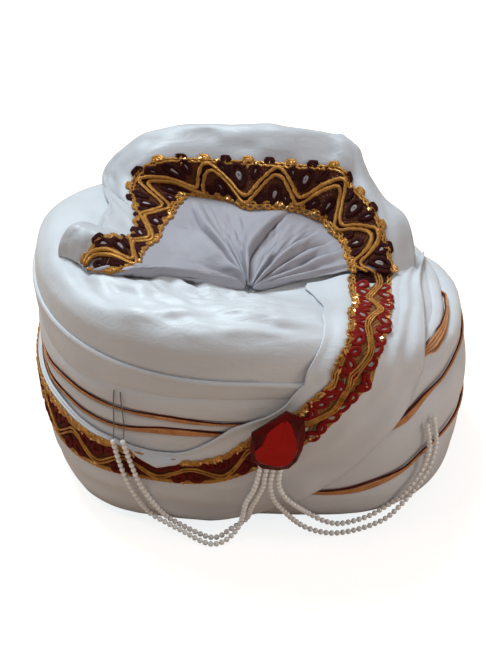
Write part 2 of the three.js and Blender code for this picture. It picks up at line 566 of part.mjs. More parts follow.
const where = ([kind, x, y, z]) => (kind === "c" ? off(x, y, z) : [x, y, z]);
const group = new THREE.Group();
group.name = "turban";
const parts = [makeLining(), makeCrown()];
for (let k = 0; k < 5; k += 1) parts.push(makeWrap(k));
for (let k = 1; k < 4; k += 1) parts.push(makeTrim(k));
const top = SASH_UNDER + SASH_THICK;
parts.push(ribbon("sash", 0, SASH.length - 1, [0, 1, 1.5, 2, 2.5, 3], SASH_UNDER, top, COLOURS.satin));
const laceAt = (name, from, to) => ribbon(name, from, to, [1.03, 1.5, 1.97],
  top + LACE_GAP, top + LACE_GAP + LACE_THICK, COLOURS.lace);
parts.push(laceAt("lace_sash", LACE_START, LACE_MEET));
parts.push(laceAt("lace_wrap", LACE_MEET + LACE_SPLIT, LACE_END));
const [hood, hoodLace] = makeHood();
parts.push(hood, hoodLace, ...makeStone());
for (const [name, points] of Object.entries(STRANDS)) {
  parts.push(tube(name, points.map(where), BEAD, 8, 27, COLOURS.pearl));
}
for (const [name, points] of Object.entries(THREADS)) {
  parts.push(tube(name, points.map(where), 0.8, 5, 6, COLOURS.satin));
}
for (const part of parts) group.add(outward(part));
group.position.set(-MIDDLE[0], -MIDDLE[1], 0);
export default group;
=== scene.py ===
import bpy
import numpy as np
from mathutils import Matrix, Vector


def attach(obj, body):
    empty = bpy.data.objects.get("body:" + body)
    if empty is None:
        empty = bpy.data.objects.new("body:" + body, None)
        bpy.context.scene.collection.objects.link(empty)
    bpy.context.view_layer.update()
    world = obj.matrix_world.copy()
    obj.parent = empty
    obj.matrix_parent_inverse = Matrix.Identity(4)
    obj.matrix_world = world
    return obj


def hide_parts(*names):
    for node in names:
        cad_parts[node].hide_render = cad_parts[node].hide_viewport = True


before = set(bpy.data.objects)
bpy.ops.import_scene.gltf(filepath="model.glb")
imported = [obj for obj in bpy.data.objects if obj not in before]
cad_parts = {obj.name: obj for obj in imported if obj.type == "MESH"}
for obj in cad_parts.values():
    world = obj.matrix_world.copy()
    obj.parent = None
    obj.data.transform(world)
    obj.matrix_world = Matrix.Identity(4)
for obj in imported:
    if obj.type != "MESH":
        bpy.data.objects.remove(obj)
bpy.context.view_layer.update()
scene = bpy.context.scene

# The camera looks down at the front, 33 degrees above the floor
PICTURE = (486, 660)
FOCAL_PIXELS = 1300
camera_data = bpy.data.cameras.new("camera")
camera_data.sensor_fit = "HORIZONTAL"
camera_data.sensor_width = 36
camera_data.lens = 36 * FOCAL_PIXELS / PICTURE[0]
camera = bpy.data.objects.new("camera", camera_data)
camera.location = (-0.0054, -0.6596, 0.4927)
aim = Vector((-0.0054, 0.0113, 0.057)) - camera.location
camera.rotation_euler = aim.to_track_quat("-Z", "Y").to_euler()
scene.collection.objects.link(camera)
scene.camera = camera

# Shape of the wound cloth, in millimetres, the same as the part's own.
# a: degrees round the head, 0 front, 90 right, 180 back.
# v: height up the cloth, 0 rim, 1 top of the wall, 2 the gather on the crown.
# Four values in a row run front, right, back, left.
RAD = np.pi / 180
MIDDLE = np.array([1.4, -11.3, 0.0])
HALF_WIDTH = 132
FRONT_REACH = 147.5
BACK_REACH = 129
CORNER = {"low": 3.18, "high": 2.13, "back": 2}
REAR_CUT = (0.12, 0.05)
GATHER = np.array([-1.3, -60, 120.4])
# height of the wall's top, and how far the crown swells above a straight line
TOP = (115.5, 83, 102, 116.5)
PUFF = (26, 11, 23, 22.5)
# height, then the share of the reach
WALL = [
    [0.0, 0.720, 0.867, 0.740, 0.840],
    [0.1, 0.788, 0.930, 0.840, 0.862],
    [0.25, 0.840, 0.955, 0.920, 0.897],
    [0.5, 0.875, 0.985, 0.970, 0.927],
    [0.75, 0.920, 0.985, 0.980, 0.942],
    [1.0, 0.950, 0.960, 0.920, 0.960],
]
# angle, then the heights of the five creases
CREASES = [
    [-180, 0.32, 0.62, 0.72, 0.83, 1.00],
    [-150, 0.30, 0.62, 0.72, 0.83, 1.00],
    [-120, 0.30, 0.61, 0.71, 0.83, 1.00],
    [-90, 0.30, 0.607, 0.70, 0.83, 1.00],
    [-62, 0.30, 0.608, 0.703, 0.835, 1.00],
    [-52, 0.30, 0.627, 0.730, 0.825, 1.00],
    [-44, 0.29, 0.619, 0.730, 0.828, 1.00],
    [-33, 0.28, 0.626, 0.736, 0.861, 1.00],
    [-22, 0.27, 0.666, 0.747, 0.873, 1.00],
    [-10, 0.26, 0.674, 0.742, 0.891, 1.00],
    [0, 0.26, 0.670, 0.742, 0.893, 1.00],
    [15, 0.278, 0.640, 0.760, 0.915, 1.00],
    [25, 0.280, 0.640, 0.800, 0.955, 1.05],
    [33, 0.320, 0.666, 0.880, 1.000, 1.12],
    [40, 0.366, 0.740, 0.945, 1.035, 1.16],
    [46, 0.444, 0.822, 1.010, 1.065, 1.19],
    [54, 0.488, 0.873, 1.037, 1.095, 1.22],
    [63, 0.505, 0.922, 1.060, 1.125, 1.24],
    [75, 0.505, 0.932, 1.077, 1.148, 1.265],
    [90, 0.480, 0.920, 1.085, 1.160, 1.275],
    [105, 0.430, 0.870, 1.055, 1.125, 1.24],
    [125, 0.380, 0.780, 0.940, 1.030, 1.14],
    [150, 0.340, 0.680, 0.800, 0.900, 1.03],
    [180, 0.320, 0.620, 0.720, 0.830, 1.00],
]
# heights where the layers meet the lining, depth of the hidden folds, and the rim's lift
ROOT = (2.3, 18, 34, 52)
LINING_GAP = 2.5
JOINT = 0.25
SKIRT = 8.6
LIFT = [[-180, 0], [-60, 0], [-40, 0], [-30, 0.4], [-21, 2.6], [-12, 0.3], [14, 0.2],
        [27, 2.4], [38, 0.2], [60, 0], [180, 0]]
HOLLOW = {"x": 79, "y": 98, "straight": 62, "top": 104, "wall": 2}
# four lines along the sash, an angle and a height each: inner edge, both sides of the lace,
# outer edge
SASH = [
    [90.0, 1.742, 92.5, 1.558, 95.0, 1.312, 106.0, 1.092],
    [78.0, 1.738, 83.4, 1.565, 83.4, 1.345, 94.5, 1.195],
    [46.0, 1.600, 60.0, 1.515, 67.9, 1.325, 80.7, 1.215],
    [26.5, 1.340, 35.7, 1.330, 50.5, 1.235, 62.0, 1.160],
    [21.2, 1.195, 27.5, 1.185, 38.7, 1.115, 48.5, 1.050],
    [18.0, 1.095, 23.3, 1.090, 32.6, 1.040, 43.2, 0.970],
    [15.1, 1.036, 19.4, 1.030, 28.4, 0.985, 38.9, 0.822],
    [12.2, 0.998, 16.1, 0.990, 24.4, 0.900, 33.2, 0.666],
    [10.1, 0.952, 13.1, 0.932, 20.6, 0.800, 26.4, 0.480],
    [8.2, 0.891, 10.4, 0.862, 17.0, 0.710, 20.2, 0.358],
    [6.0, 0.845, 7.4, 0.800, 13.0, 0.635, 14.6, 0.272],
    [3.4, 0.810, 4.0, 0.752, 8.4, 0.556, 9.4, 0.200],
    [0.5, 0.784, 0.2, 0.705, 3.4, 0.482, 3.5, 0.140],
    [-2.4, 0.758, -3.7, 0.630, -1.6, 0.425, -3.4, 0.100],
    [-5.0, 0.730, -7.4, 0.570, -7.9, 0.380, -9.5, 0.070],
    [-10.9, 0.632, -11.8, 0.535, -12.9, 0.366, -14.6, 0.050],
    [-16.8, 0.560, -16.9, 0.520, -17.5, 0.362, -19.0, 0.045],
    [-22.4, 0.540, -22.4, 0.520, -22.4, 0.362, -23.5, 0.045],
    [-28.0, 0.540, -28.0, 0.528, -27.6, 0.360, -28.2, 0.045],
    [-34.6, 0.556, -34.6, 0.547, -34.0, 0.348, -34.0, 0.045],
    [-40.3, 0.564, -40.3, 0.552, -40.8, 0.337, -40.5, 0.045],
    [-45.8, 0.580, -45.8, 0.566, -46.6, 0.330, -46.0, 0.045],
    [-52.9, 0.604, -52.9, 0.590, -54.0, 0.335, -53.5, 0.045],
    [-62.8, 0.606, -62.8, 0.594, -62.6, 0.344, -62.5, 0.045],
    [-78, 0.605, -78, 0.593, -78, 0.352, -78, 0.050],
    [-96, 0.602, -96, 0.590, -96, 0.358, -96, 0.060],
    [-116, 0.600, -116, 0.588, -116, 0.362, -116, 0.070],
    [-138, 0.590, -138, 0.578, -138, 0.360, -138, 0.090],
    [-160, 0.565, -160, 0.553, -160, 0.350, -160, 0.120],
    [-182, 0.530, -182, 0.520, -182, 0.338, -182, 0.160],
    [-200, 0.478, -200, 0.468, -200, 0.340, -200, 0.220],
    [-218, 0.425, -218, 0.417, -218, 0.345, -218, 0.285],
    [-234, 0.392, -234, 0.386, -234, 0.366, -234, 0.345],
]
SASH_UNDER = 0.9
SASH_THICK = 2.0
# angle and height of the foot of the hood's lace, the top of the lace, and the rim
HOOD = [
    [-56, 1.200, -92, -66, 140, -97, -60, 137],
    [-53, 1.260, -87, -66, 149, -97, -58, 150],
    [-51, 1.330, -81, -64, 158, -91, -55, 158],
    [-54, 1.430, -73, -54, 152, -82, -44, 152],
    [-75, 1.535, -67, -32, 139, -78, -22, 138],
    [-92, 1.600, -66, -18, 139, -76, -6, 134],
    [-120, 1.570, -67, -3, 142, -79, 9, 137],
    [-134, 1.520, -72, 10, 144, -82, 22, 142],
    [-145, 1.475, -71, 24, 149, -82, 36, 147],
    [-150, 1.478, -64, 28, 156, -74, 41, 156],
    [-155, 1.495, -53, 30, 160, -61, 43, 165],
    [-163, 1.522, -37, 31, 160, -42, 43, 170],
    [-171, 1.550, -21, 32, 159, -23, 44, 171],
    [-180, 1.600, -3, 28, 160, -4, 40, 172],
    [-193, 1.577, 15, 28, 159, 15, 39, 173],
    [-203, 1.540, 31, 29, 157, 33, 40, 170],
    [-211, 1.502, 45, 30, 156, 47, 41, 167],
    [-219, 1.480, 56, 28, 155, 56, 39, 166],
    [-225, 1.452, 61, 24, 147, 63, 36, 160],
    [-232, 1.475, 68, 15, 143, 70, 28, 147],
    [-240, 1.475, 75, 6, 136, 79, 19, 135],
    [-249, 1.517, 80, -6, 128, 90, 6, 129],
    [-258, 1.545, 83, -16, 122, 95, -3, 123],
    [-265, 1.562, 84, -22, 114, 97, -10, 119],
]
HOOD_THICK = 2.0
HOOD_CLEAR = 1.1
HEM_BACK = 7
HEM_DROP = 11
# the stone's outline, right and up
STONE = [
    [4.9, 20.3], [13.5, 14.6], [14.5, 5], [13.2, -5.3], [10.6, -13.6], [6.6, -18.2],
    [0.9, -19.1], [-7.5, -16.9], [-12.8, -11.1], [-14.1, -3.6], [-13.3, 6.7], [-5, 12.8],
]
STONE_AT = {"a": 6, "v": 0.74, "out": 7, "tip": -5}
# the corners of its table, right, up and out from the plate
TABLE = [
    [3.6, 17.6, 6.2], [6.2, 14.6, 7.2], [9.4, 4.4, 8.3], [9.6, -3.0, 8.3], [7.6, -9.8, 8.1],
    [4.6, -13.0, 8.0], [0.4, -13.2, 8.0], [-6.6, -11.0, 8.1], [-10.8, -7.6, 8.2],
    [-11.8, -1.6, 8.1], [-8.0, 2.6, 8.3], [-5.2, 10.4, 7.8],
]
BEAD = 3.0
BEAD_SHARE = 0.53
BEAD_PITCH = 1.05
CORD_RADIUS = 0.28
THREAD_RADIUS = 0.33
# points of a string: "c" angle, height and distance on the cloth, "p" a point in space
STRANDS = {
    "string_left_outer": [["c", -33.3, 0.585, 6.6], ["c", -32.5, 0.475, 6.8],
        ["c", -31.1, 0.359, 6.6], ["c", -29.3, 0.235, 5.6], ["c", -27.6, 0.140, 5.4],
        ["p", -46.5, -124.5, 10.6], ["p", -37, -127.4, 6.6], ["p", -27, -130.8, 2.6],
        ["p", -20.5, -132.3, 1.75], ["p", -14.5, -130.6, 2.4], ["p", -9.2, -128, 5.8],
        ["p", -5.2, -126.8, 13.0], ["c", -1.2, 0.280, 6.6], ["c", 0.5, 0.347, 6.8],
        ["c", 1.6, 0.415, 7.0], ["c", 2.2, 0.478, 7.0], ["c", 2.8, 0.560, 6.2]],
    "string_left_inner": [["c", -30.8, 0.603, 6.6], ["c", -29.6, 0.481, 6.8],
        ["c", -28.0, 0.357, 6.6], ["c", -25.6, 0.225, 5.6], ["c", -23.4, 0.125, 5.4],
        ["p", -36.8, -122, 5.6], ["p", -29, -124.2, 2.6], ["p", -22.6, -126.6, 1.75],
        ["p", -17.4, -126.2, 1.8], ["p", -10.6, -122.8, 4.6], ["p", -2.6, -121.2, 10.0],
        ["c", 0.4, 0.232, 5.4], ["c", 2.0, 0.315, 6.2], ["c", 3.5, 0.395, 6.8],
        ["c", 3.9, 0.478, 7.0], ["c", 4.6, 0.560, 6.2]],
    "string_right_inner": [["c", 8.1, 0.560, 6.2], ["c", 7.6, 0.478, 7.0],
        ["c", 7.6, 0.400, 6.8], ["c", 9.3, 0.320, 6.2], ["c", 12.6, 0.245, 5.2],
        ["p", 33.0, -120.6, 13.6], ["p", 40.0, -120.4, 8.8],
        ["p", 47.6, -119.4, 5.4], ["p", 54.5, -117.8, 4.8], ["p", 66.5, -115.2, 7.2],
        ["p", 75.5, -112.8, 11.8], ["c", 40.3, 0.215, 3.0], ["c", 43.3, 0.300, 2.7],
        ["c", 45.4, 0.385, 2.7], ["c", 46.2, 0.500, 2.7], ["c", 44.8, 0.655, 2.7]],
    "string_right_outer": [["c", 6.3, 0.560, 6.2], ["c", 5.7, 0.478, 7.0],
        ["c", 5.4, 0.390, 6.8], ["c", 6.4, 0.305, 6.2], ["c", 9.0, 0.220, 5.6],
        ["p", 28.0, -124.0, 8.6], ["p", 36.2, -124.4, 4.6],
        ["p", 46, -123.4, 1.85], ["p", 56, -121.6, 1.75], ["p", 68, -118.4, 3.4],
        ["p", 77.5, -116.2, 7.8], ["c", 42.2, 0.185, 3.4], ["c", 45.4, 0.270, 2.9],
        ["c", 47.7, 0.370, 2.7], ["c", 48.6, 0.500, 2.7], ["c", 47.0, 0.680, 2.7]],
}
THREADS = {
    "thread_left_outer": [["c", -33.6, 0.842, 0.1], ["c", -33.8, 0.79, 0.6],
                          ["c", -34.0, 0.64, 2.0], ["c", -33.4, 0.592, 6.0]],
    "thread_left_inner": [["c", -31.9, 0.842, 0.1], ["c", -31.7, 0.79, 0.6],
                          ["c", -31.2, 0.66, 2.0], ["c", -30.8, 0.610, 6.0]],
}


def read(rows, column, x):
    """Smooth reading of a table's column at x: a cubic between rows, whose slope at a row
    is the mean of the straight slopes on its two sides."""
    rows = np.asarray(rows, float)
    key, at = rows[:, 0], rows[:, column]
    straight = np.diff(at) / np.diff(key)
    slope = (np.r_[straight[:1], straight] + np.r_[straight, straight[-1:]]) / 2
    i = np.clip(np.searchsorted(key, x, side="left") - 1, 0, len(key) - 2)
    h = key[i + 1] - key[i]
    t = np.clip((x - key[i]) / h, 0, 1)
    u = 1 - t
    return (at[i] * u * u * (1 + 2 * t) + at[i + 1] * t * t * (1 + 2 * u)
            + h * t * u * (slope[i] * u - slope[i + 1] * t))


def join(*columns):
    """Columns of equal or single values, side by side in the last direction."""
    return np.stack(np.broadcast_arrays(*columns), -1)


def numbered(rows):
    """A table with its row numbers in front."""
    return np.array([[i, *row] for i, row in enumerate(rows)], float)


def by_side(values, a):
    """Front, right, back and left values mixed by the squared cosine of the angle to each."""
    s, c = np.sin(a * RAD), np.cos(a * RAD)
    weights = [np.maximum(c, 0) ** 2, np.maximum(s, 0) ** 2,
               np.maximum(-c, 0) ** 2, np.maximum(-s, 0) ** 2]
    return sum(w * value for w, value in zip(weights, values))


def wall(a, v):
    """Rounded-square plan |s|^n + |c|^n = 1, scaled by the share of the reach at height v."""
    a, v = np.broadcast_arrays(np.asarray(a, float), np.asarray(v, float))
    s, c = np.sin(a * RAD), np.cos(a * RAD)
    t = np.clip(v, 0, 1)
    share = by_side([read(WALL, k, t) for k in (1, 2, 3, 4)], a)
    n = np.where(c > 0, CORNER["low"] * (1 - t) + CORNER["high"] * t, CORNER["back"])
    cut = np.where(c < 0, np.where(s > 0, REAR_CUT[0], REAR_CUT[1]) * (2 * s * c) ** 2, 0)
    k = (np.abs(s) ** n + np.abs(c) ** n) ** (-1 / n) * share * (1 - cut)
    reach = np.where(c > 0, FRONT_REACH, BACK_REACH)
    return join(HALF_WIDTH * k * s, -reach * k * c, by_side(TOP, a) * t)


def cloth(a, v):
    """The wall up to v = 1, then straight in plan to the gather with a puffed height."""
    edge = wall(a, np.minimum(v, 1))
    u = np.clip(np.asarray(v, float) - 1, 0, 1) + 0 * edge[..., 0]
    puffed = by_side(PUFF, a) * np.maximum(np.sin(np.pi * u ** 0.55), 0) ** 0.85
    point = edge + (GATHER - edge) * u[..., None]
    point[..., 2] += puffed
    return point


def unit(p):
    """Each vector divided by its length."""
    return p / np.maximum(np.linalg.norm(p, axis=-1, keepdims=True), 1e-9)


def off(a, v, out):
    """Point at height out over the cloth, along the cross of its two directions."""
    step = 0.02
    up = cloth(a, np.minimum(v + step, 1.97)) - cloth(a, np.maximum(v - step, 0))
    around = cloth(a + 1.5, v) - cloth(a - 1.5, v)
    shape = np.broadcast(a, v, out).shape
    return cloth(a, v) + unit(np.cross(around, up)) * np.broadcast_to(out, shape)[..., None]


def turn(a):
    """The same angle between -180 and 180."""
    return (a + 540) % 360 - 180


def crease(a, k):
    """Height v of crease k at azimuth a."""
    return read(CREASES, k, turn(a))


def hollow(a, z, grow):
    """Oval hollow for the head: upright to z = 62, then a dome to z = 104."""
    foot = wall(a, 0)
    d = unit(foot * [1 / HOLLOW["x"], 1 / HOLLOW["y"], 0])
    rise = (z - HOLLOW["straight"]) / (HOLLOW["top"] + grow - HOLLOW["straight"])
    k = np.sqrt(1 - np.clip(rise, 0, 1) ** 2)
    x = d[..., 0] * (HOLLOW["x"] + grow) * k
    return join(x, d[..., 1] * (HOLLOW["y"] + grow) * k, z + 0 * x)


def crown_place(points):
    """Azimuth and height v of the cloth under each point in plan, on its ray from the
    gather."""
    angles = np.arange(-178, 179, 2.0)
    edge = wall(angles, 1)[:, :2] - GATHER[:2]
    bearing = np.arctan2(edge[:, 0], -edge[:, 1])
    ray = points[..., :2] - GATHER[:2]
    a = np.interp(np.arctan2(ray[..., 0], -ray[..., 1]), bearing, angles)
    length = np.interp(a, angles, np.linalg.norm(edge, axis=-1))
    return a, 2 - np.linalg.norm(ray, axis=-1) / length


def crown_height(points):
    """Height of the crown under each point in plan, 0 outside its edge."""
    a, v = crown_place(points)
    return np.where(v > 1, cloth(a, np.maximum(v, 1))[..., 2], 0)


def noise(x, y, seed, turns):
    """Smooth random heights from -1 to 1, one lattice point a unit, repeating after
    `turns` units of x."""
    table = np.random.RandomState(seed).uniform(-1, 1, (turns, 64))
    i, j = np.floor(x).astype(int), np.floor(y).astype(int)
    s, t = x - i, y - j
    s, t = s * s * (3 - 2 * s), t * t * (3 - 2 * t)
    i, j, k, l = i % turns, j % 64, (i + 1) % turns, (j + 1) % 64
    return ((table[i, j] * (1 - s) + table[k, j] * s) * (1 - t)
            + (table[i, l] * (1 - s) + table[k, l] * s) * t)


def ring_noise(a, count, y, seed):
    """Noise that closes round the head, count lattice points a turn."""
    return noise((a + 180) / 360 * count, y, seed, count)


def ramp(x, lo, hi):
    """0 below lo, 1 above hi, an S curve between."""
    t = np.clip((x - lo) / (hi - lo), 0, 1)
    return t * t * (3 - 2 * t)


# Meshes from grids of points
def piece(name, points, faces, uv, material, smooth=True):
    """A mesh object at the origin from points in millimetres; uv holds one pair a corner."""
    mesh = bpy.data.meshes.new(name)
    mesh.from_pydata(((points - MIDDLE) / 1000).tolist(), [], faces)
    layer = mesh.uv_layers.new(name="cloth")
    layer.data.foreach_set("uv", uv.ravel())
    if smooth:
        mesh.shade_smooth()
    made = bpy.data.objects.new(name, mesh)
    scene.collection.objects.link(made)
    mesh.materials.append(material)
    return made


def lengths(grid):
    """Running length along each of a grid's two directions, in metres, as one map."""
    along = np.linalg.norm(np.diff(grid, axis=0), axis=-1).mean(1)
    across = np.linalg.norm(np.diff(grid, axis=1), axis=-1).mean(0)
    u, v = np.r_[0, along.cumsum()], np.r_[0, across.cumsum()]
    return np.stack(np.meshgrid(u, v, indexing="ij"), -1) / 1000


def volume_sign(points, quads):
    """Sign of the volume that the faces hold, by summing their cones from the origin."""
    p = points[quads]
    first = np.einsum("ij,ij->i", p[:, 0], np.cross(p[:, 1], p[:, 2])).sum()
    second = np.einsum("ij,ij->i", p[:, 0], np.cross(p[:, 2], p[:, 3])).sum()
    return np.sign(first + second)


def skin(name, grid, material, around=False, poles=None):
    """Faces over a grid of sections (n, m, 3). The sections are closed loops unless poles
    are given, which then close the two ends of every section. around joins the last
    section to the first, and otherwise flat strips cap the first and last sections."""
    n, m = grid.shape[:2]
    wide = np.concatenate([grid, grid[:1]], 0) if around else grid
    full = wide if poles else np.concatenate([wide, wide[:, :1]], 1)
    uv = lengths(full)
    i, j = np.meshgrid(np.arange(full.shape[0] - 1), np.arange(full.shape[1] - 1), indexing="ij")
    i, j = i.ravel(), j.ravel()
    corners = [(i, j), (i + 1, j), (i + 1, j + 1), (i, j + 1)]
    quads = np.stack([(p % n) * m + q % m for p, q in corners], -1)
    maps = np.stack([uv[p, q] for p, q in corners], 1)
    points = grid.reshape(-1, 3)
    tris, tri_maps = np.zeros((0, 3), int), np.zeros((0, 3, 2))
    if poles:
        points = np.concatenate([points, np.array(poles, float)])
        k = np.arange(n)
        lo = join(k * m, n * m, (k + 1) % n * m)
        hi = join(k * m + m - 1, (k + 1) % n * m + m - 1, n * m + 1)
        tris = np.concatenate([lo, hi])
        tri_maps = np.stack([uv[k, 0], uv[k, 0], uv[k + 1, 0]], 1)
        tri_maps = np.concatenate([tri_maps, np.stack([uv[k, -1], uv[k + 1, -1], uv[k, -1]], 1)])
    if not around:
        half = m // 2
        k = np.arange(half - 1)
        first = join(k, k + 1, m - 2 - k, m - 1 - k)
        last = first[:, ::-1] + (n - 1) * m
        quads = np.concatenate([quads, first, last])
        maps = np.concatenate([maps, np.zeros((2 * len(k), 4, 2))])
    if volume_sign(points, quads) < 0:
        quads, maps = quads[:, ::-1], maps[:, ::-1]
        tris, tri_maps = tris[:, ::-1], tri_maps[:, ::-1]
    corner_maps = np.concatenate([maps.reshape(-1, 2), tri_maps.reshape(-1, 2)])
    return piece(name, points, quads.tolist() + tris.tolist(), corner_maps, material)


def band(name, top, bottom, material):
    """A closed sheet between two grids of the same size."""
    return skin(name, np.concatenate([top, bottom[:, ::-1]], 1), material)


def tubes(name, paths, side, normal, wide, tall, material, closed=False, sides=6):
    """Many cords at once. Round each path (c, n, 3) goes an oval section:
    path + cos * wide * side + sin * tall * normal."""
    c, n = paths.shape[:2]
    phase = np.arange(sides) / sides * 2 * np.pi - np.pi / 2
    wide = np.broadcast_to(wide, (c, n))[..., None, None]
    tall = np.broadcast_to(tall, (c, n))[..., None, None]
    ring = (paths[:, :, None] + np.cos(phase)[:, None] * wide * side[:, :, None]
            + np.sin(phase)[:, None] * tall * normal[:, :, None])
    steps = np.linalg.norm(np.diff(paths, axis=1), axis=-1)
    run = np.concatenate([np.zeros((c, 1)), steps.cumsum(1), steps.sum(1, keepdims=True)], 1)
    rows = n if closed else n - 1
    o, i, j = np.meshgrid(np.arange(c), np.arange(rows), np.arange(sides), indexing="ij")
    o, i, j = o.ravel(), i.ravel(), j.ravel()
    corners = [(i, j), (i, j + 1), (i + 1, j + 1), (i + 1, j)]
    quads = np.stack([(o * n + p % n) * sides + q % sides for p, q in corners], -1)
    maps = np.stack([np.stack([run[o, p] / 1000, q / sides], -1) for p, q in corners], 1)
    faces, flat = quads.tolist(), maps.reshape(-1, 2)
    if not closed:
        k = np.arange(sides)
        start = (np.arange(c) * n)[:, None] * sides + k
        end = start + (n - 1) * sides
        faces += start[:, ::-1].tolist() + end.tolist()
        flat = np.concatenate([flat, np.zeros((2 * c * sides, 2))])
    points = ring.reshape(-1, 3)
    if volume_sign(points, quads) < 0:
        faces = [face[::-1] for face in faces]
    return piece(name, points, faces, flat, material)


def side_vectors(paths, normal, closed=False):
    """Side vector along each path: the cross of its surface normal and its own direction."""
    if closed:
        wrapped = np.concatenate([paths[:, -1:], paths, paths[:, :1]], 1)
        return unit(np.cross(normal, wrapped[:, 2:] - wrapped[:, :-2]))
    return unit(np.cross(normal, np.gradient(paths, axis=1)))


# Materials: shared effects are node groups, the shader stays in each material
class Nodes:
    """Short ways to add nodes to one tree."""

    def __init__(self, tree):
        """The tree to work on."""
        self.tree = tree

    def wire(self, node, inputs):
        """Links or sets a node's inputs. Colours are given without their opacity."""
        for key, value in inputs.items():
            socket = node.inputs[key]
            if hasattr(value, "is_output"):
                self.tree.links.new(value, socket)
            else:
                socket.default_value = (*value, 1.0) if socket.type == "RGBA" else value
        return node

    def add(self, kind, inputs=None, **settings):
        """A new node with its settings and its inputs."""
        node = self.tree.nodes.new(kind)
        for key, value in settings.items():
            setattr(node, key, value)
        return self.wire(node, inputs or {})

    def use(self, shared, inputs):
        """One of the shared node groups."""
        return self.add("ShaderNodeGroup", inputs, node_tree=shared)

    def cloth(self):
        """Place on the cloth in metres, along and across."""
        return self.add("ShaderNodeUVMap", uv_map="cloth").outputs[0]

    def place(self):
        """Place in space in metres."""
        return self.add("ShaderNodeTexCoord").outputs["Object"]

    def math(self, operation, first, second=0.0):
        """One sum, product or function of two numbers."""
        return self.add("ShaderNodeMath", {0: first, 1: second}, operation=operation).outputs[0]

    def noise(self, vector, scale, detail=3.0, distortion=0.0):
        """Cloudy noise about 0.5."""
        inputs = {"Vector": vector, "Scale": scale, "Detail": detail, "Distortion": distortion}
        return self.add("ShaderNodeTexNoise", inputs).outputs["Fac"]

    def remap(self, value, lo, hi, out_lo, out_hi):
        """Straight map of lo to hi onto another range, clamped."""
        inputs = {0: value, 1: lo, 2: hi, 3: out_lo, 4: out_hi}
        return self.add("ShaderNodeMapRange", inputs).outputs[0]

    def patches(self, scale, detail=3.0, lo=0.35, hi=0.65, least=0.0):
        """Worn patches: noise in space, from least to 1."""
        return self.remap(self.noise(self.place(), scale, detail), lo, hi, least, 1.0)

    def mix(self, factor, first, second):
        """Colour between two."""
        inputs = {0: factor, 6: first, 7: second}
        return self.add("ShaderNodeMix", inputs, data_type="RGBA").outputs[2]

    def relief(self, height, strength):
        """Bump of up to a millimetre."""
        inputs = {"Height": height, "Distance": 0.001, "Strength": strength}
        return self.add("ShaderNodeBump", inputs).outputs[0]


def group(name, control, value, results=("Height",)):
    """A node group that reads a vector and one number and gives one or more numbers."""
    made = bpy.data.node_groups.new(name, "ShaderNodeTree")
    made.interface.new_socket("Vector", in_out="INPUT", socket_type="NodeSocketVector")
    number = made.interface.new_socket(control, in_out="INPUT", socket_type="NodeSocketFloat")
    number.default_value = value
    for label in results:
        made.interface.new_socket(label, in_out="OUTPUT", socket_type="NodeSocketFloat")
    source, sink = made.nodes.new("NodeGroupInput"), made.nodes.new("NodeGroupOutput")
    return made, Nodes(made), source.outputs["Vector"], source.outputs[control], sink


def weave_group():
    """Over-and-under threads: |sine| ridges of warp and weft, multiplied."""
    made, n, vector, threads, sink = group("woven threads", "Threads", 2500.0)
    split = n.add("ShaderNodeSeparateXYZ", {0: vector})
    waves = []
    for axis in ("X", "Y"):
        turned = n.math("MULTIPLY", split.outputs[axis], threads)
        waves.append(n.math("SINE", n.math("MULTIPLY", turned, np.pi)))
    n.wire(sink, {"Height": n.math("ABSOLUTE", n.math("MULTIPLY", *waves))})
    return made


def crumple_group():
    """Soft handling marks: stretched noise plus faint lines where finer noise is near 0.5."""
    made, n, vector, size, sink = group("handling marks", "Size", 40.0, ("Height", "Mask"))
    stretched = n.add("ShaderNodeMapping", {"Vector": vector, "Scale": (0.45, 1.0, 1.0)}).outputs[0]
    soft = n.noise(stretched, size, 2.0, 0.6)
    fine = n.noise(stretched, n.math("MULTIPLY", size, 5.0), 4.0, 1.2)
    lines = n.math("ABSOLUTE", n.math("SUBTRACT", fine, 0.5))
    n.wire(sink, {"Height": n.math("ADD", soft, n.math("MULTIPLY", lines, 0.35)), "Mask": soft})
    return made


def ply_group():
    """Twisted plies of a cord: |sine| of its length plus its turn round the section."""
    made, n, vector, twists, sink = group("twisted plies", "Twists", 600.0)
    split = n.add("ShaderNodeSeparateXYZ", {0: vector})
    run = n.math("MULTIPLY", split.outputs["X"], twists)
    turned = n.math("ADD", run, n.math("MULTIPLY", split.outputs["Y"], 2.0))
    wave = n.math("SINE", n.math("MULTIPLY", turned, 2 * np.pi))
    n.wire(sink, {"Height": n.math("ABSOLUTE", wave)})
    return made


WEAVE, CRUMPLE, PLIES = weave_group(), crumple_group(), ply_group()


def new_material(name):
    """An empty node material with its shader."""
    made = bpy.data.materials.new(name)
    made.use_nodes = True
    return made, Nodes(made.node_tree), made.node_tree.nodes["Principled BSDF"]


